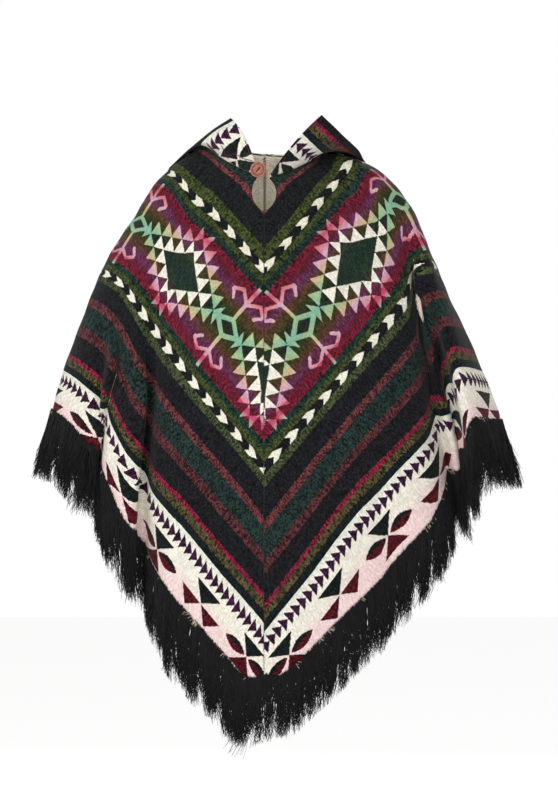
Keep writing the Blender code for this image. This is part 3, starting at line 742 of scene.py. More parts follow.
def wing_places(side, points):
    """A wing's points on the woven cloth, laid flat along its top edge from the tip."""
    tip = points[-1, 0]
    along = unit(points[-1, round(WING_TOP_RUN * (points.shape[1] - 1))] - tip)
    down = points[0, 0] - tip
    down = unit(down - along * (down @ along))
    return np.stack([(points - tip) @ along, WING_TOP[side] + (points - tip) @ down], axis=-1)


def collar_places(side, points, way):
    """Each point's place on the woven cloth, measured from the collar's own front end."""
    rise = walked(points)
    along = np.broadcast_to(way * COLLAR_HALF, rise.shape)
    fall = np.stack([along, COLLAR_SEAM / MM - rise], axis=-1)
    return wing_places(side, points) * (1.0 - turned_down(way)) + fall * turned_down(way)


def add_collar(drapes, finishes):
    way = np.linspace(0.0, 1.0, COLLAR_COLUMNS // 2 + 1)
    right, left = (collar_half(drapes[side], way) for side in ("right", "left"))
    back = (right[:, -1:] + left[:, -1:]) / 2
    outside = np.concatenate([right[:, :-1], back, left[:, -2::-1]], axis=1)
    neck_side = outside - grid_normals(outside) * CLOTH
    right_flat, left_flat = collar_places("right", right, way), collar_places("left", left, way)
    left_flat[..., 0] = 2.0 * COLLAR_HALF - left_flat[..., 0]
    flat = np.concatenate([right_flat, left_flat[:, -2::-1]], axis=1)
    collar = cloth_shell("woven_collar", outside, neck_side, flat, finishes)
    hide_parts("collar")
    return collar


def heading_lines(drape, shares):
    """The hem that the fringe hangs from: its places, and the ways out, along and down."""
    across = PANEL_WIDTH - hem_tuck(shares, PANEL_WIDTH)
    rim = drape.at(shares, across, np.full_like(shares, SOLID_WALL))
    out = drape.look_up(drape.normals, shares, across)
    run = unit(np.gradient(rim, axis=0))
    down = drape.at(shares, across + HEADING_HEIGHT) - drape.at(shares, across)
    return rim, out, run, squared(down, run)


def add_heading(drape, finish):
    """The worked edge that holds the yarns: a plump strip, rolled over the hem."""
    shares = np.linspace(0.0, 1.0, HEADING_COLUMNS + 1)
    rim, out, _, down = heading_lines(drape, shares)
    heights, swell = np.array(HEADING_SECTION).T[:, :, None, None]
    outer = rim + down * heights + out * swell
    inner = rim + down * heights - out * (CLOTH + swell)
    flat = np.stack(np.meshgrid(shares * HEM_LENGTH, heights.ravel()), axis=-1)
    name = f"fringe_heading_{drape.side}"
    heading = cloth_shell(name, outer, inner, flat, (finish, finish))
    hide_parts(f"fringe_{drape.side}")
    return heading


def yarn_paths(drape, rng, layer):
    """Points down each yarn: level with its neighbours at first, then in ragged tufts."""
    shares = np.sort(rng.uniform(*YARN_ENDS, YARNS))
    rim, out, run, down = heading_lines(drape, shares)
    tuft_places = np.sort(rng.uniform(0.0, 1.0, TUFTS))
    nearest = np.abs(shares[:, None] - tuft_places).argsort(axis=1)
    pick = np.where(rng.uniform(size=YARNS) < NEAREST_TUFT, 0, 1)
    tuft = nearest[np.arange(YARNS), pick]
    away = (shares - tuft_places[tuft]) * HEM_LENGTH
    close = rng.uniform(*TUFT_PULL, TUFTS)[tuft]
    sway, lean, longer = (
        rng.normal(0.0, of_tufts, TUFTS)[tuft] + rng.normal(0.0, of_yarns, YARNS)
        for of_tufts, of_yarns in (SWAY_SPREAD, LEAN_SPREAD, LENGTH_SPREAD))
    length = YARN_LENGTH * (1.0 + longer)
    length *= np.where(rng.uniform(size=YARNS) < SHORT_YARNS,
                       rng.uniform(*SHORT_LENGTHS, YARNS), 1.0)
    length = np.minimum(length, YARN_LENGTH * LONGEST_YARN)
    length *= np.interp(shares * HEM_LENGTH, *YARN_REACH[drape.side])
    if layer == "over":
        lift = rng.uniform(*OVER_LIFT, YARNS)
        start = rng.uniform(*OVER_START, YARNS)
    else:
        lift = -rng.uniform(0.0, CLOTH, YARNS)
        start = np.full(YARNS, UNDER_START)
    plumb = unit(np.array([0.0, 0.0, -1.0]) + out * out[:, 2:3])
    curl_turn = rng.uniform(0.0, math.tau, YARNS)
    curl_rate = rng.uniform(*CURL_RATE, YARNS)
    curl = np.minimum(np.abs(rng.normal(0.0, CURL_SPREAD, YARNS)) + CURL_LEAST, CURL_MOST)
    levels = [rim + down * start[:, None] + out * lift[:, None]]
    ways = np.linspace(0.0, 1.0, YARN_LEVELS + 1) ** LEVEL_CROWDING
    for before, t in zip(ways[:-1], ways[1:]):
        fall = unit(down * max(0.0, 1.0 - PLUMB_TURN * t) + plumb)
        turn, turn_before = curl_turn + curl_rate * t, curl_turn + curl_rate * before
        aside = (sway - away * close) * (t**SWAY_POWER - before**SWAY_POWER)
        aside += curl * (t**CURL_POWER * np.sin(turn) - before**CURL_POWER * np.sin(turn_before))
        rise = lean * (t**LEAN_POWER - before**LEAN_POWER)
        rise += curl * (t * np.cos(turn) - before * np.cos(turn_before)) * CURL_OUTWARDS
        levels.append(levels[-1] + fall * (length * (t - before))[:, None]
                      + run * aside[:, None] + out * rise[:, None])
    return np.array(levels)


def add_yarns(drape, layer, finish, seed):
    """One layer of loose yarns, each a three-sided stalk drawn down level by level."""
    rng = np.random.default_rng(seed)
    paths = yarn_paths(drape, rng, layer)
    widths = YARN_RADIUS * rng.uniform(*YARN_WIDTHS, YARNS)
    thinning = np.interp(np.linspace(0.0, 1.0, YARN_LEVELS + 1), *YARN_TAPER)
    turns = rng.uniform(0.0, math.tau, YARNS)
    bm = bmesh.new()
    number = bm.faces.layers.int.new("yarn")
    for yarn in range(YARNS):
        made = bmesh.ops.create_circle(
            bm, cap_ends=True, radius=widths[yarn], segments=3,
            matrix=Matrix.Translation(paths[0, yarn])
            @ Matrix.Rotation(turns[yarn], 4, "Z"))
        made["verts"][0].link_faces[0][number] = yarn
    faces = bm.faces[:]
    sections = {face[number]: [vert.co - Vector(paths[0, face[number]]) for vert in face.verts]
                for face in faces}
    for level in range(1, YARN_LEVELS + 1):
        faces = bmesh.ops.extrude_discrete_faces(bm, faces=faces)["faces"]
        for face in faces:
            middle = Vector(paths[level, face[number]])
            for vert, corner in zip(face.verts, sections[face[number]]):
                vert.co = middle + corner * thinning[level]
    bmesh.ops.recalc_face_normals(bm, faces=bm.faces[:])
    for face in bm.faces:
        face.smooth = True
    yarns = add_piece(f"fringe_yarns_{drape.side}_{layer}", bm, finish)
    return yarns


def loop_path():
    """From the left edge's start, behind the button, round its shank, and back."""
    rest = np.array(BUTTON_PLACE) * (1.0 - LOOP_REST) + np.array(SHANK_END) * LOOP_REST
    reach = SHANK_RADIUS + LOOP_RADIUS + SEAM_GAP
    angles = np.linspace(-math.pi / 2, math.pi / 2, ARC_POINTS)
    arc = rest + reach * np.stack(
        [-np.cos(angles), np.zeros_like(angles), np.sin(angles)], axis=-1)
    legs = []
    for start, end in zip(np.array(LOOP_STARTS), (arc[0], arc[-1])):
        t = np.linspace(0.0, 1.0, LEG_POINTS, endpoint=False)[:, None]
        leg = start + (end - start) * t
        leg[:, 1] = (start[1] + (end[1] - start[1]) * (1.0 - (1.0 - t) ** 2))[:, 0]
        legs.append(leg)
    return np.concatenate([legs[0], arc, legs[1][::-1]])


def add_ply(name, path, turn, finish):
    """One of the two plies that are twisted into the loop's cord."""
    shares = np.linspace(0.0, 1.0, PLY_POINTS)
    line = spaced(path, shares)
    along = unit(np.gradient(line, axis=0))
    side = unit(np.cross(along, [0.0, 1.0, 0.0]))
    rise = np.cross(side, along)
    angle = (shares * walked(path)[-1] / PLY_PITCH * math.tau + turn)[:, None]
    line = line + (side * np.cos(angle) + rise * np.sin(angle)) * PLY_OFFSET
    return add_thread(name, line, PLY_RADIUS, finish)


def add_stitches(name, places, run, out, length, radius, slant, finish):
    """Stitches over a seam, each a slim bead of thread laid aslant across it."""
    bm = bmesh.new()
    for place, along, up in zip(places, run, out):
        across = np.cross(up, along)
        lie = unit(along * math.sin(slant) + across * math.cos(slant))
        turned = Matrix((lie, np.cross(up, lie), up)).transposed().to_4x4()
        turned.translation = Vector(place)
        bmesh.ops.create_uvsphere(
            bm, u_segments=6, v_segments=4, radius=1.0,
            matrix=turned @ Matrix.Diagonal((length / 2, radius, radius, 1.0)))
    for face in bm.faces:
        face.smooth = True
    return add_piece(name, bm, finish)


def seam_line(drapes, share, start, end, pitch, lift):
    """Evenly spaced places down the seam between the panels: place, way down, outwards."""
    across = np.linspace(start, end, round((end - start) * SEAM_SLOPE / pitch))
    shares = np.full_like(across, share)
    place = sum(drape.at(shares, across, lift) for drape in drapes.values()) / 2
    out = unit(sum(drape.look_up(drape.normals, shares, across) for drape in drapes.values()))
    run = unit(np.gradient(place, axis=0))
    return place, run, squared(out, run)


def add_seams(drapes, threads):
    """The joining stitches at the centre front, the centre back and round the neck."""
    for name, thread, share, start, end, pitch, lift, *stitch in SEAM_STITCHES:
        line = seam_line(drapes, share, start, end, pitch, lift)
        sewn = add_stitches(name, *line, *stitch, threads[thread])
    for side, drape in drapes.items():
        shares = np.linspace(NECK_STITCH_START, NECK_STITCH_END, NECK_STITCHES)
        edge = drape.at(shares, np.full_like(shares, NECK_STITCH_ACROSS), NECK_STITCH_LIFT)
        run = unit(np.gradient(edge, axis=0))
        out = squared(drape.look_up(drape.normals, shares, np.zeros_like(shares)), run)
        sewn = add_stitches(f"neck_seam_stitches_{side}", edge, run, out, *NECK_STITCH,
                            threads["black"])


def add_thread_ends(drape, rng, finish):
    """Pale ends of the woven threads that stick out over the top of the fringe."""
    bunches = rng.uniform(0.01, 0.99, THREAD_BUNCHES)
    shares = np.sort(rng.choice(bunches, THREAD_ENDS)
                     + rng.normal(0.0, BUNCH_SPREAD, THREAD_ENDS))
    rim, out, run, down = heading_lines(drape, np.clip(shares, 0.003, 0.997))
    bm = bmesh.new()
    for rim_at, out_at, run_at, down_at in zip(rim, out, run, down):
        long = rng.uniform(*THREAD_END_LENGTH)
        lie = unit(down_at + run_at * rng.normal(0.0, THREAD_END_ASIDE)
                   + out_at * rng.uniform(*THREAD_END_OUTWARDS))
        middle = (rim_at + out_at * THREAD_END_LIFT - down_at * rng.uniform(*THREAD_END_RISE)
                  + lie * long / 2)
        turned = Vector(lie).to_track_quat("Z", "Y").to_matrix().to_4x4()
        turned.translation = Vector(middle)
        bmesh.ops.create_cone(bm, cap_ends=True, segments=4, radius1=THREAD_END_RADII[0],
                              radius2=THREAD_END_RADII[1], depth=long, matrix=turned)
    ends = add_piece(f"hem_thread_ends_{drape.side}", bm, finish)


def laid_on(pieces, line, lift):
    """Smooth points through `line` (x, z), laid on the pieces' front as seen from the front."""
    trees = [BVHTree.FromPolygons([vert.co[:] for vert in piece.data.vertices],
                                  [face.vertices[:] for face in piece.data.polygons])
             for piece in pieces]
    last = len(line) - 1
    points = []
    for x, z in through_rows(np.arange(last + 1), line,
                             np.linspace(0.0, last, THREAD_STEPS * last + 1)):
        hits = [tree.ray_cast(Vector((x, IN_FRONT, z)), Vector((0.0, 1.0, 0.0)))[0]
                for tree in trees]
        depths = [hit.y for hit in hits if hit is not None and hit.y < 0.0]
        if depths:
            points.append((x, min(depths) - lift, z))
    return np.array(points)


def add_thread(name, points, radius, finish):
    """A loose thread along the points."""
    curve = bpy.data.curves.new(name, "CURVE")
    curve.dimensions = "3D"
    curve.bevel_depth = radius
    curve.bevel_resolution = 2
    curve.use_fill_caps = True
    spline = curve.splines.new("POLY")
    spline.points.add(len(points) - 1)
    for point, place in zip(spline.points, points):
        point.co = (*place, 1.0)
    curve.materials.append(finish)
    thread = put_in(name, curve)
    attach(thread, "root")
    return thread


def linear(code):
    """An sRGB hex colour as linear RGBA."""
    channels = [int(code[at:at + 2], 16) / 255 for at in (0, 2, 4)]
    return (*[c / 12.92 if c <= 0.04045 else ((c + 0.055) / 1.055) ** 2.4
              for c in channels], 1.0)


def add_node(tree, kind, inputs, **settings):
    """Adds a node with its settings; an input is a value, a socket, or a node's first output."""
    node = tree.nodes.new(kind)
    for name, value in settings.items():
        setattr(node, name, value)
    for name, value in inputs.items():
        if isinstance(value, bpy.types.Node):
            value = value.outputs[0]
        if isinstance(value, bpy.types.NodeSocket):
            tree.links.new(value, node.inputs[name])
        else:
            node.inputs[name].default_value = value
    return node


def new_material(name):
    """A material with an empty tree, and the way to add nodes to it."""
    made = bpy.data.materials.new(name)
    made.use_nodes = True
    made.node_tree.nodes.clear()
    return made, functools.partial(add_node, made.node_tree)


def warp_colours(node, v, bands, column, blended):
    """The colour of the dark (1) or light (2) warp at v, from two ramps joined at a band."""
    ramps = []
    for half in (bands[:FIRST_RAMP], bands[FIRST_RAMP:]):
        ends = [row[0] for row in half[1:]] + [half[-1][0] + LAST_BAND]
        places = [(row[0] + end) / 2 if blended else row[0] for row, end in zip(half, ends)]
        start, end = half[0][0], ends[-1]
        place = node("ShaderNodeMapRange", {0: v, 1: start, 2: end})
        ramp = node("ShaderNodeValToRGB", {0: place})
        ramp.color_ramp.interpolation = "LINEAR" if blended else "CONSTANT"
        while len(ramp.color_ramp.elements) < len(half):
            ramp.color_ramp.elements.new(1.0)
        for element, row, at in zip(ramp.color_ramp.elements, half, places):
            element.position = (at - start) / (end - start)
            element.color = linear(row[column])
        ramps.append(ramp)
    later = node("ShaderNodeMath", {0: v, 1: bands[FIRST_RAMP][0]}, operation="GREATER_THAN")
    mixed = node("ShaderNodeMix", {0: later, 6: ramps[0], 7: ramps[1]}, data_type="RGBA")
    return mixed.outputs[2]


def joined(node, operation, first, *others):
    """One mask of several: MAXIMUM shows wherever one does, MULTIPLY only where all do."""
    for mask in others:
        first = node("ShaderNodeMath", {0: first, 1: mask}, operation=operation)
    return first


def diamond_figure(node, x, y, half_pitch):
    """Two rings of triangles round a diamond: (the inner ring, the outer ring)."""
    step = (half_pitch - DIAMOND_FREE - DIAMOND_COLUMN) / DIAMOND_STEPS
    first = node("ShaderNodeMath", {0: x, 1: DIAMOND_COLUMN}, operation="DIVIDE")
    others = node("ShaderNodeMath", {0: x, 1: 1 / step, 2: 1 - DIAMOND_COLUMN / step},
                  operation="MULTIPLY_ADD")
    column = node("ShaderNodeMath", {0: first, 1: others}, operation="MINIMUM")
    number = node("ShaderNodeMath", {0: column}, operation="FLOOR")
    across = node("ShaderNodeMath", {0: column}, operation="FRACT")
    ring = node("ShaderNodeMath", {0: y, 1: 1 / DIAMOND_ROW, 2: number},
                operation="MULTIPLY_ADD")
    inner, outer = (node("ShaderNodeMath", {0: ring, 1: place, 2: across}, operation="COMPARE")
                    for place in (INNER_RING, OUTER_RING))
    last = node("ShaderNodeMath", {0: number, 1: LAST_COLUMN}, operation="LESS_THAN")
    return inner, joined(node, "MULTIPLY", outer, last)


def hexagon_figure(node, x, y):
    """A diamond ring between two spikes, on a stem with four hooked branches."""
    ring = []
    for (reach_x, reach_y), side in ((RING_OUTLINE, "LESS_THAN"), (RING_HOLE, "GREATER_THAN")):
        slant = node("ShaderNodeMath", {0: y, 1: 1 / reach_y}, operation="MULTIPLY")
        slant = node("ShaderNodeMath", {0: x, 1: 1 / reach_x, 2: slant},
                     operation="MULTIPLY_ADD")
        ring.append(node("ShaderNodeMath", {0: slant, 1: 1.0}, operation=side))
    spike, climb, turn, hook = (
        node("ShaderNodeMath", {0: x, 1: slope, 2: height}, operation="MULTIPLY_ADD")
        for slope, height in (SPIKE_LINE, BRANCH_CLIMB, BRANCH_TURN, HOOK_LINE))
    spike = (node("ShaderNodeMath", {0: y, 1: spike}, operation="LESS_THAN"),
             node("ShaderNodeMath", {0: x, 1: SPIKE_START}, operation="GREATER_THAN"))
    stem = (node("ShaderNodeMath", {0: x, 1: STEM_HALF}, operation="LESS_THAN"),
            node("ShaderNodeMath", {0: y, 1: STEM_START}, operation="GREATER_THAN"))
    # Each branch climbs and turns down at its peak, and its hook goes back inwards.
    branch = node("ShaderNodeMath", {0: climb, 1: turn}, operation="MINIMUM")
    branch = (node("ShaderNodeMath", {0: y, 1: branch, 2: BRANCH_HALF}, operation="COMPARE"),
              node("ShaderNodeMath", {0: x, 1: BRANCH_END}, operation="LESS_THAN"))
    hook = (node("ShaderNodeMath", {0: y, 1: hook, 2: HOOK_HALF}, operation="COMPARE"),
            node("ShaderNodeMath", {0: x, 1: HOOK_X[0], 2: HOOK_X[1]}, operation="COMPARE"),
            node("ShaderNodeMath", {0: y, 1: HOOK_Y[0], 2: HOOK_Y[1]}, operation="COMPARE"))
    return joined(node, "MAXIMUM", *(joined(node, "MULTIPLY", *part)
                                     for part in (ring, spike, stem, branch, hook)))


def along_row(node, u, way, start, pitch):
    """How far along its own arrow or tooth a place is, counted the way that they point."""
    along = node("ShaderNodeMath", {0: u, 1: way, 2: -way * start}, operation="MULTIPLY_ADD")
    return node("ShaderNodeMath", {0: along, 1: pitch, 2: 0.0}, operation="WRAP")


def arrow_figure(node, u, v, band, pitch, tail, way):
    """A row of swallow-tailed arrows."""
    middle, half = (band[0] + band[1]) / 2, (band[1] - band[0]) / 2
    wide = half * ARROW_FILL
    along = along_row(node, u, way, tail, pitch)
    off = node("ShaderNodeMath", {0: v, 1: middle}, operation="SUBTRACT")
    off = node("ShaderNodeMath", {0: off}, operation="ABSOLUTE")
    taper = node("ShaderNodeMath", {0: along, 1: -wide / ARROW_HEAD,
                                    2: wide * ARROW_LENGTH / ARROW_HEAD},
                 operation="MULTIPLY_ADD")
    taper = node("ShaderNodeMath", {0: taper, 1: wide}, operation="MINIMUM")
    arrow = node("ShaderNodeMath", {0: off, 1: taper}, operation="LESS_THAN")
    notch = node("ShaderNodeMath", {0: off, 1: -ARROW_NOTCH / half, 2: ARROW_NOTCH},
                 operation="MULTIPLY_ADD")
    notch = node("ShaderNodeMath", {0: along, 1: notch}, operation="GREATER_THAN")
    return joined(node, "MULTIPLY", arrow, notch)


def teeth_figure(node, u, v, base, way):
    """A row of triangles that point along the stripe."""
    along = along_row(node, u, way, base, TOOTH_PITCH)
    half = node("ShaderNodeMath", {0: along, 1: -TOOTH_HALF / TOOTH_LENGTH, 2: TOOTH_HALF},
                operation="MULTIPLY_ADD")
    return node("ShaderNodeMath", {0: v, 1: sum(TOOTH_BAND) / 2, 2: half},
                operation="COMPARE")


def flower_figure(node, u, v, middle):
    """Two triangles tip to tip with a leaf on each side, and three triangles between two."""
    x = node("ShaderNodeMath", {0: u, 1: middle}, operation="SUBTRACT")
    x = node("ShaderNodeMath", {0: x, 1: FLOWER_PITCH}, operation="PINGPONG")
    y = node("ShaderNodeMath", {0: v, 1: FLOWER_LINE}, operation="SUBTRACT")
    depth = node("ShaderNodeMath", {0: y}, operation="ABSOLUTE")
    inside = node("ShaderNodeMath", {0: depth, 1: PETAL_DEPTH}, operation="LESS_THAN")
    slope = node("ShaderNodeMath", {0: depth, 1: PETAL_SLOPE}, operation="MULTIPLY")
    petal = node("ShaderNodeMath", {0: x, 1: slope}, operation="LESS_THAN")
    # The leaf is a lens.
    along = node("ShaderNodeMath", {0: x, 1: 1 / LEAF_HALF, 2: -LEAF_MIDDLE / LEAF_HALF},
                 operation="MULTIPLY_ADD")
    along = node("ShaderNodeMath", {0: along, 1: 2.0}, operation="POWER")
    bow = node("ShaderNodeMath", {0: along, 1: -LEAF_BOW, 2: LEAF_BOW},
               operation="MULTIPLY_ADD")
    leaf = node("ShaderNodeMath", {0: depth, 1: bow}, operation="LESS_THAN")
    # Between two flowers, a triangle above and two below all point towards the hem.
    beside = node("ShaderNodeMath", {0: x, 1: -1.0, 2: FLOWER_PITCH}, operation="MULTIPLY_ADD")
    above = node("ShaderNodeMath", {0: y, 1: BETWEEN_SLOPE}, operation="MULTIPLY")
    above = node("ShaderNodeMath", {0: beside, 1: above}, operation="LESS_THAN")
    aside = node("ShaderNodeMath", {0: beside, 1: BETWEEN_APART}, operation="SUBTRACT")
    aside = node("ShaderNodeMath", {0: aside}, operation="ABSOLUTE")
    reach = node("ShaderNodeMath", {0: y, 1: -PETAL_SLOPE, 2: BETWEEN_APART},
                 operation="MULTIPLY_ADD")
    outer = node("ShaderNodeMath", {0: aside, 1: reach}, operation="LESS_THAN")
    below = node("ShaderNodeMath", {0: y, 1: 0.5}, operation="GREATER_THAN")
    parts = ((petal, inside), (above, inside), (outer, below))
    return joined(node, "MAXIMUM", leaf, *(joined(node, "MULTIPLY", *part) for part in parts))


def thread_places(node):
    """Places in the cloth in mm: as it is laid, and with its threads wandering."""
    woven = node("ShaderNodeUVMap", {}, uv_map="woven")
    laid = node("ShaderNodeVectorMath", {0: woven, "Scale": MM}, operation="SCALE")
    # Threads wander by about a millimetre at most, so that no edge of a band is ruled.
    wander = node("ShaderNodeTexNoise", {"Vector": laid, "Scale": WANDER_SCALE, "Detail": 3.0})
    wander = node("ShaderNodeVectorMath", {0: wander.outputs["Color"], 1: (0.5, 0.5, 0.5)},
                  operation="SUBTRACT")
    wander = node("ShaderNodeVectorMath", {0: wander, 1: (WANDER, WANDER, 0.0), 2: laid},
                  operation="MULTIPLY_ADD")
    return laid, wander


def woven_figures(node, piece, wander):
    """The masks of the figures and of the cream ring, and the places the colours need.

    Those are the distances from the wide band's middle and along it from a diamond's, and
    the place across the bands.
    """
    way, hexagon, half_pitch, pitch, tail, tooth, flower = FIGURES[piece]
    # Figures are stepped by the threads that draw them.
    stepped = node("ShaderNodeVectorMath", {0: wander, 1: (THREAD_STEP,) * 3},
                   operation="SNAP")
    split = node("ShaderNodeSeparateXYZ", {0: stepped})
    u, v = split.outputs[0], split.outputs[1]
    off = node("ShaderNodeMath", {0: v, 1: MIDDLE_BAND}, operation="SUBTRACT")
    y = node("ShaderNodeMath", {0: off}, operation="ABSOLUTE")
    from_hexagon = node("ShaderNodeMath", {0: u, 1: hexagon}, operation="SUBTRACT")
    from_hexagon = node("ShaderNodeMath", {0: from_hexagon, 1: half_pitch},
                        operation="PINGPONG")
    from_diamond = node("ShaderNodeMath", {0: from_hexagon, 1: -1.0, 2: half_pitch},
                        operation="MULTIPLY_ADD")
    inner, outer = diamond_figure(node, from_diamond, y, half_pitch)
    band = node("ShaderNodeMath", {0: v, 1: sum(WIDE_BAND) / 2,
                                   2: (WIDE_BAND[1] - WIDE_BAND[0]) / 2 + WIDE_EDGE},
                operation="COMPARE")
    wide = joined(node, "MAXIMUM", hexagon_figure(node, from_hexagon, y), outer)
    arrows = [arrow_figure(node, u, v, arrow_band, pitch, tail, way)
              for arrow_band in ARROW_BANDS]
    figure = joined(node, "MAXIMUM", joined(node, "MULTIPLY", wide, band), *arrows,
                    teeth_figure(node, u, v, tooth, way), flower_figure(node, u, v, flower))
    return figure, joined(node, "MULTIPLY", inner, band), y, from_diamond, v


def dark_and_light(node, bands, laid, wander, wide):
    """The two warps' colours; dark bands run into each other, most of all in the wide band."""
    across = node("ShaderNodeSeparateXYZ", {0: wander}).outputs[1]
    mottle = node("ShaderNodeVectorMath", {0: laid, 1: MOTTLE_STRETCH}, operation="MULTIPLY")
    mottle = node("ShaderNodeTexNoise", {"Vector": mottle, "Scale": 1.0, "Detail": 1.5})
    reach = node("ShaderNodeMath", {0: wide, 1: MOTTLE_WIDE, 2: MOTTLE_REACH},
                 operation="MULTIPLY_ADD")
    shift = node("ShaderNodeMath", {0: mottle, 1: 0.5}, operation="SUBTRACT")
    shifted = node("ShaderNodeMath", {0: shift, 1: reach, 2: across}, operation="MULTIPLY_ADD")
    dark = node("ShaderNodeMix", {
        0: wide, 6: warp_colours(node, shifted, bands, 1, False),
        7: warp_colours(node, shifted, bands, 1, True)}, data_type="RGBA").outputs[2]
    return dark, warp_colours(node, across, bands, 2, True)


def uneven(node, place, scale, detail, reach, swing):
    """A noise, and the tone round 1 that it gives."""
    noise = node("ShaderNodeTexNoise", {"Vector": place, "Scale": scale, "Detail": detail})
    return noise, node("ShaderNodeMapRange", {
        0: noise, 1: 0.5 - reach, 2: 0.5 + reach, 3: 1.0 - swing, 4: 1.0 + swing})


def wool_tone(node, laid, wander, wide, pale):
    """How the wool's tone varies, and the noise of its specks.

    Each float of wool has its own tone, drawn larger than it is so that it shows.
    """
    cells = node("ShaderNodeVectorMath",
                 {0: wander, 1: (1 / FLECK_ACROSS, 1 / FLECK_ALONG, 0.0)},
                 operation="MULTIPLY")
    column = node("ShaderNodeVectorMath", {0: cells}, operation="FLOOR")
    offset = node("ShaderNodeSeparateXYZ", {0: column})
    offset = node("ShaderNodeMath", {0: offset, 1: 0.5}, operation="MULTIPLY")
    offset = node("ShaderNodeCombineXYZ", {1: offset})
    cells = node("ShaderNodeVectorMath", {0: cells, 1: offset}, operation="ADD")
    cells = node("ShaderNodeVectorMath", {0: cells}, operation="FLOOR")
    fleck = node("ShaderNodeTexWhiteNoise", {"Vector": cells}, noise_dimensions="2D")
    fleck = node("ShaderNodeMapRange", {0: fleck, 1: 0.0, 2: 1.0, 3: FLECK_TONES[0],
                                        4: FLECK_TONES[1]})
    specks, speck = uneven(node, laid, *SPECKS)
    _, blotch = uneven(node, laid, *BLOTCHES)
    along = node("ShaderNodeVectorMath", {0: laid, 1: STREAK_STRETCH}, operation="MULTIPLY")
    _, streak = uneven(node, along, *STREAKS)
    tone = joined(node, "MULTIPLY", fleck, speck, blotch)
    # The light yarn is evener than the dark, and so is the wide band's ground.
    light, calm = (node("ShaderNodeMath", {0: tone, 1: kept, 2: added},
                        operation="MULTIPLY_ADD")
                   for kept, added in (LIGHT_EVENED, WIDE_EVENED))
    calm = node("ShaderNodeMath", {0: calm, 1: streak}, operation="MULTIPLY")
    tone = node("ShaderNodeMix", {0: wide, 2: tone, 3: calm})
    return node("ShaderNodeMix", {0: pale, 2: tone, 3: light}), specks


def thread_grooves_shade_and_height(node, laid):
    """The grooves between the threads, twice as far apart as real ones so that they show. The
    tone it gives is painted shade in them, and also their height for the bump.
    """
    grid = node("ShaderNodeVectorMath", {0: laid, 1: (1 / GRID_PITCH, 1 / GRID_PITCH, 0.0)},
                operation="MULTIPLY")
    grid = node("ShaderNodeVectorMath", {0: grid}, operation="FRACTION")
    grid = node("ShaderNodeVectorMath", {0: grid, 1: (0.5, 0.5, 0.0)}, operation="SUBTRACT")
    grid = node("ShaderNodeVectorMath", {0: grid}, operation="ABSOLUTE")
    sides = node("ShaderNodeSeparateXYZ", {0: grid})
    edge = joined(node, "MAXIMUM", sides.outputs[0], sides.outputs[1])
    return node("ShaderNodeMapRange", {0: edge, 1: GROOVE_START, 2: 0.5, 3: 1.0,
                                       4: THREAD_GROOVE_SHADE})


def woven_cloth(name, piece, right_side):
    """Double-woven wool blanket cloth: matt, slightly felted, with a fine grid of threads.

    Two warps change places to draw the figures, so the wrong side shows the same figures
    with light and dark exchanged.
    """
    bands = BANDS[:-1] + COLLAR_LAST_BAND if piece == "collar" else BANDS
    made, node = new_material(name)
    laid, wander = thread_places(node)
    figure, cream_ring, y, from_diamond, v = woven_figures(node, piece, wander)
    # Which warp shows: the figure's, exchanged in the hem band and on the wrong side.
    hem = node("ShaderNodeMath", {0: v, 1: HEM_GROUND}, operation="GREATER_THAN")
    light = node("ShaderNodeMath", {0: figure, 1: hem}, operation="SUBTRACT")
    light = node("ShaderNodeMath", {0: light}, operation="ABSOLUTE")
    if not right_side:
        light = node("ShaderNodeMath", {0: 1.0, 1: light}, operation="SUBTRACT")
    wide = node("ShaderNodeMath", {0: y, 1: WIDE_HALF}, operation="LESS_THAN")
    dark_warp, light_warp = dark_and_light(node, bands, laid, wander, wide)
    # The ground inside the diamond keeps mostly to its own dark green.
    rim = node("ShaderNodeMath", {0: y, 1: GREEN_SLOPE}, operation="MULTIPLY")
    rim = node("ShaderNodeMath", {0: from_diamond, 1: rim}, operation="ADD")
    rim = node("ShaderNodeMapRange", {0: rim, 1: GREEN_REACH[0], 2: GREEN_REACH[1],
                                      3: GREEN_SHARE, 4: 0.0})
    dark_warp = node("ShaderNodeMix", {0: rim, 6: dark_warp, 7: linear(DIAMOND_GREEN)},
                     data_type="RGBA").outputs[2]
    colour = node("ShaderNodeMix", {0: light, 6: dark_warp, 7: light_warp}, data_type="RGBA")
    ring_colour = linear(CREAM if right_side else CREAM_REVERSE)
    colour = node("ShaderNodeMix", {0: cream_ring, 6: colour.outputs[2], 7: ring_colour},
                  data_type="RGBA")

    pale = joined(node, "MAXIMUM", light, cream_ring)
    tone, specks = wool_tone(node, laid, wander, wide, pale)
    groove_shade_and_height = thread_grooves_shade_and_height(node, laid)
    # Painted shade: the colour darkens in the grooves between the threads.
    tone = node("ShaderNodeMath", {0: tone, 1: groove_shade_and_height}, operation="MULTIPLY")
    colour = node("ShaderNodeVectorMath", {0: colour.outputs[2], "Scale": tone},
                  operation="SCALE")
    height = node("ShaderNodeMath", {0: specks, 1: FELT_HEIGHT, 2: groove_shade_and_height},
                  operation="MULTIPLY_ADD")
    bump = node("ShaderNodeBump", {"Height": height, "Strength": 0.55, "Distance": 0.0006})
    shader = node("ShaderNodeBsdfPrincipled", {
        "Base Color": colour, "Roughness": 0.94, "Specular IOR Level": 0.12,
        "Sheen Weight": 0.05, "Sheen Roughness": 0.55, "Normal": bump})
    node("ShaderNodeOutputMaterial", {"Surface": shader})
    return made


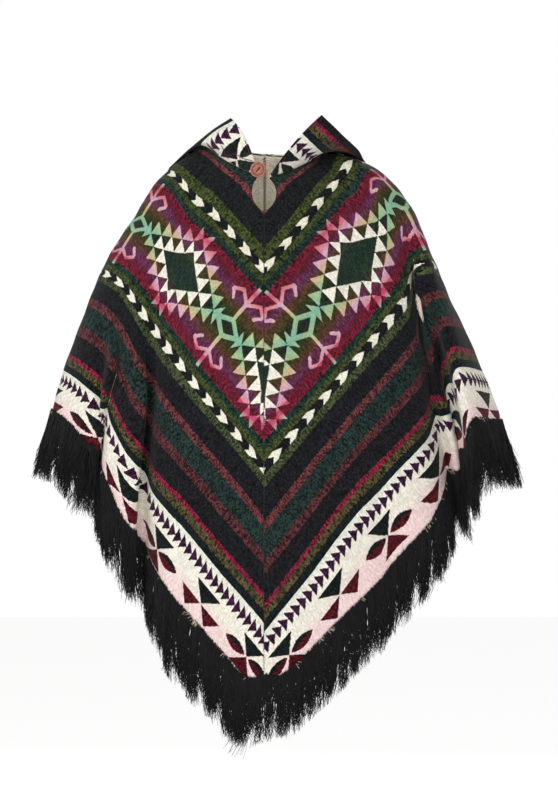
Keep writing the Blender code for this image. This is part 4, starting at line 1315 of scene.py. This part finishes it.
def wool_yarn(name):
    """Worsted black yarn, two-ply: matt, hairy, with a faint brown where light passes."""
    made, node = new_material(name)
    place = node("ShaderNodeTexCoord", {}).outputs["Object"]
    stretched = node("ShaderNodeVectorMath", {0: place, 1: HAIR_STRETCH},
                     operation="MULTIPLY")
    hairs = node("ShaderNodeTexNoise", {"Vector": stretched, "Scale": 1.0, "Detail": 3.0})
    colour = node("ShaderNodeMix", {0: hairs, 6: linear("080808"), 7: linear("1e1c1d")},
                  data_type="RGBA")
    bump = node("ShaderNodeBump", {"Height": hairs, "Strength": 0.5, "Distance": 0.0004})
    shader = node("ShaderNodeBsdfPrincipled", {
        "Base Color": colour.outputs[2], "Roughness": 0.72, "Specular IOR Level": 0.20,
        "Sheen Weight": 0.02, "Sheen Roughness": 0.5, "Normal": bump})
    node("ShaderNodeOutputMaterial", {"Surface": shader})
    return made


def cotton_cord(name, dark, light):
    """Twisted cotton or wool cord: matt fibres that run round the twist."""
    made, node = new_material(name)
    place = node("ShaderNodeTexCoord", {}).outputs["Object"]
    fibres = node("ShaderNodeTexNoise", {"Vector": place, "Scale": FIBRE_SCALE,
                                         "Detail": 2.0})
    colour = node("ShaderNodeMix", {0: fibres, 6: linear(dark), 7: linear(light)},
                  data_type="RGBA")
    bump = node("ShaderNodeBump", {"Height": fibres, "Strength": 0.4, "Distance": 0.0002})
    shader = node("ShaderNodeBsdfPrincipled", {
        "Base Color": colour.outputs[2], "Roughness": 0.85, "Specular IOR Level": 0.25,
        "Normal": bump})
    node("ShaderNodeOutputMaterial", {"Surface": shader})
    return made


def coconut_shell(name):
    """Turned and waxed coconut shell: warm brown, with pale flecks and dark grain."""
    made, node = new_material(name)
    place = node("ShaderNodeTexCoord", {}).outputs["Object"]
    turned = node("ShaderNodeMapping", {"Vector": place, "Rotation": GRAIN_TILT,
                                        "Scale": GRAIN_STRETCH})
    grain = node("ShaderNodeTexNoise", {"Vector": turned, "Scale": 1.0, "Detail": 5.0,
                                        "Distortion": 0.6})
    ramp = node("ShaderNodeValToRGB", {0: grain})
    ramp.color_ramp.elements.new(0.5)
    for element, (position, code) in zip(ramp.color_ramp.elements, SHELL_COLOURS):
        element.position = position
        element.color = linear(code)
    # The turned face: a dark ring inside the rim, painted shade of a shallow groove.
    from_middle = node("ShaderNodeVectorMath", {0: place, 1: BUTTON_PLACE}, operation="DISTANCE")
    ring = node("ShaderNodeMath", {0: from_middle.outputs["Value"], 1: PAINTED_RING_SHADE,
                                   2: PAINTED_RING_SHADE_HALF}, operation="COMPARE")
    colour = node("ShaderNodeMix", {0: ring, 6: ramp, 7: linear("4a2118")},
                  data_type="RGBA")
    bump = node("ShaderNodeBump", {"Height": grain, "Strength": 0.25, "Distance": 0.0003})
    shader = node("ShaderNodeBsdfPrincipled", {
        "Base Color": colour.outputs[2], "Roughness": 0.38, "Normal": bump,
        "Coat Weight": 0.25, "Coat Roughness": 0.3})
    node("ShaderNodeOutputMaterial", {"Surface": shader})
    return made


def studio_paper(name):
    """Matt white paper that glows a little, so that it stays near the backdrop's white."""
    made, node = new_material(name)
    grain = node("ShaderNodeTexNoise", {"Scale": 3.0, "Detail": 2.0})
    colour = node("ShaderNodeMix", {0: grain, 6: linear("f2f2f1"), 7: linear("f6f6f6")},
                  data_type="RGBA")
    shader = node("ShaderNodeBsdfPrincipled", {
        "Base Color": colour.outputs[2], "Roughness": 0.9, "Specular IOR Level": 0.1,
        "Emission Color": linear("ffffff"), "Emission Strength": FLOOR_GLOW})
    node("ShaderNodeOutputMaterial", {"Surface": shader})
    return made


def add_studio():
    """A pale floor, a white backdrop, soft lights, and the camera."""
    bm = bmesh.new()
    bmesh.ops.create_grid(bm, x_segments=1, y_segments=1, size=FLOOR_SIZE)
    mesh = bpy.data.meshes.new("studio_floor")
    bm.to_mesh(mesh)
    bm.free()
    mesh.transform(Matrix.Translation((0.0, 0.0, FLOOR)))
    mesh.materials.append(studio_paper("matt_white_paper"))
    put_in("studio_floor", mesh)

    bpy.context.scene.view_settings.view_transform = "Standard"
    world = bpy.data.worlds.new("studio")
    world.use_nodes = True
    backdrop = world.node_tree.nodes["Background"]
    backdrop.inputs["Color"].default_value = linear("ffffff")
    # The backdrop shows white, and lights the cloth about half as much as it shows.
    seen = add_node(world.node_tree, "ShaderNodeLightPath", {})
    strength = add_node(world.node_tree, "ShaderNodeMapRange", {
        0: seen.outputs["Is Camera Ray"], 3: BACKDROP_LIGHT, 4: BACKDROP_SEEN})
    world.node_tree.links.new(strength.outputs[0], backdrop.inputs["Strength"])
    bpy.context.scene.world = world

    for name, place, power, size in LIGHTS:
        lamp = bpy.data.lights.new(name, "AREA")
        lamp.energy, lamp.size = power, size
        light = put_in(name, lamp)
        light.location = place
        aim = Vector(LIGHTS_AIM) - Vector(place)
        light.rotation_euler = aim.to_track_quat("-Z", "Y").to_euler()

    lens = bpy.data.cameras.new("camera")
    lens.sensor_fit = "AUTO"
    lens.sensor_width = FILM_WIDTH
    lens.lens = FILM_WIDTH * CAMERA_DISTANCE / VIEW_HEIGHT
    camera = put_in("camera", lens)
    camera.location = Vector(VIEW_MIDDLE) - Vector((0.0, CAMERA_DISTANCE, 0.0))
    camera.rotation_euler = (math.pi / 2, 0.0, 0.0)
    bpy.context.scene.camera = camera


def main():
    drapes = {side: Drape(side) for side in ("right", "left")}
    panels = []
    for number, (side, drape) in enumerate(drapes.items()):
        finishes = (woven_cloth(f"double_woven_wool_{side}", side, True),
                    woven_cloth(f"double_woven_wool_{side}_reverse", side, False))
        panel = add_panel(drape, finishes)
        panels.append(panel)
        yarn = wool_yarn(f"black_wool_yarn_{side}")
        heading = add_heading(drape, yarn)
        yarns = [add_yarns(drape, layer, yarn, seed)
                 for seed, layer in enumerate(YARN_LAYERS, number * len(YARN_LAYERS))]
    collar = add_collar(drapes, (
        woven_cloth("double_woven_wool_collar", "collar", True),
        woven_cloth("double_woven_wool_collar_reverse", "collar", False)))

    cord = cotton_cord("cream_cotton_cord", "b9b092", "e4dcc0")
    green = cotton_cord("green_cotton_cord", "5d7048", "93a673")
    black_thread = cotton_cord("black_sewing_thread", "0d0c0d", "2c292a")
    red_thread = cotton_cord("dark_red_wool_thread", "3f0a14", "7a1a2a")
    path = loop_path()
    loop = add_ply("button_loop_cream", path, 0.0, cord)
    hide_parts("button_loop")
    add_ply("button_loop_green", path, math.pi, green)
    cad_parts["button"].material_slots[0].material = coconut_shell("waxed_coconut_shell")

    add_seams(drapes, {"black": black_thread, "cream": cord})
    rng = np.random.default_rng(THREAD_END_SEED)
    for drape in drapes.values():
        add_thread_ends(drape, rng, cord)
    for name, line in RED_THREADS.items():
        points = laid_on([collar, *panels], line, RED_THREAD_LIFT)
        add_thread(f"red_thread_{name}", points, RED_THREAD_RADIUS, red_thread)
    front = (0.0, -BUTTON_THICKNESS / 2 - BUTTON_THREAD_LIFT, 0.0)
    holes = np.array([(x, 0.0, z) for x, z in BUTTON_HOLES]) + BUTTON_PLACE + front
    add_thread("button_thread", holes + (holes - holes.mean(axis=0)) * BUTTON_THREAD_SPREAD,
               BUTTON_THREAD_RADIUS, black_thread)
    add_studio()


main()
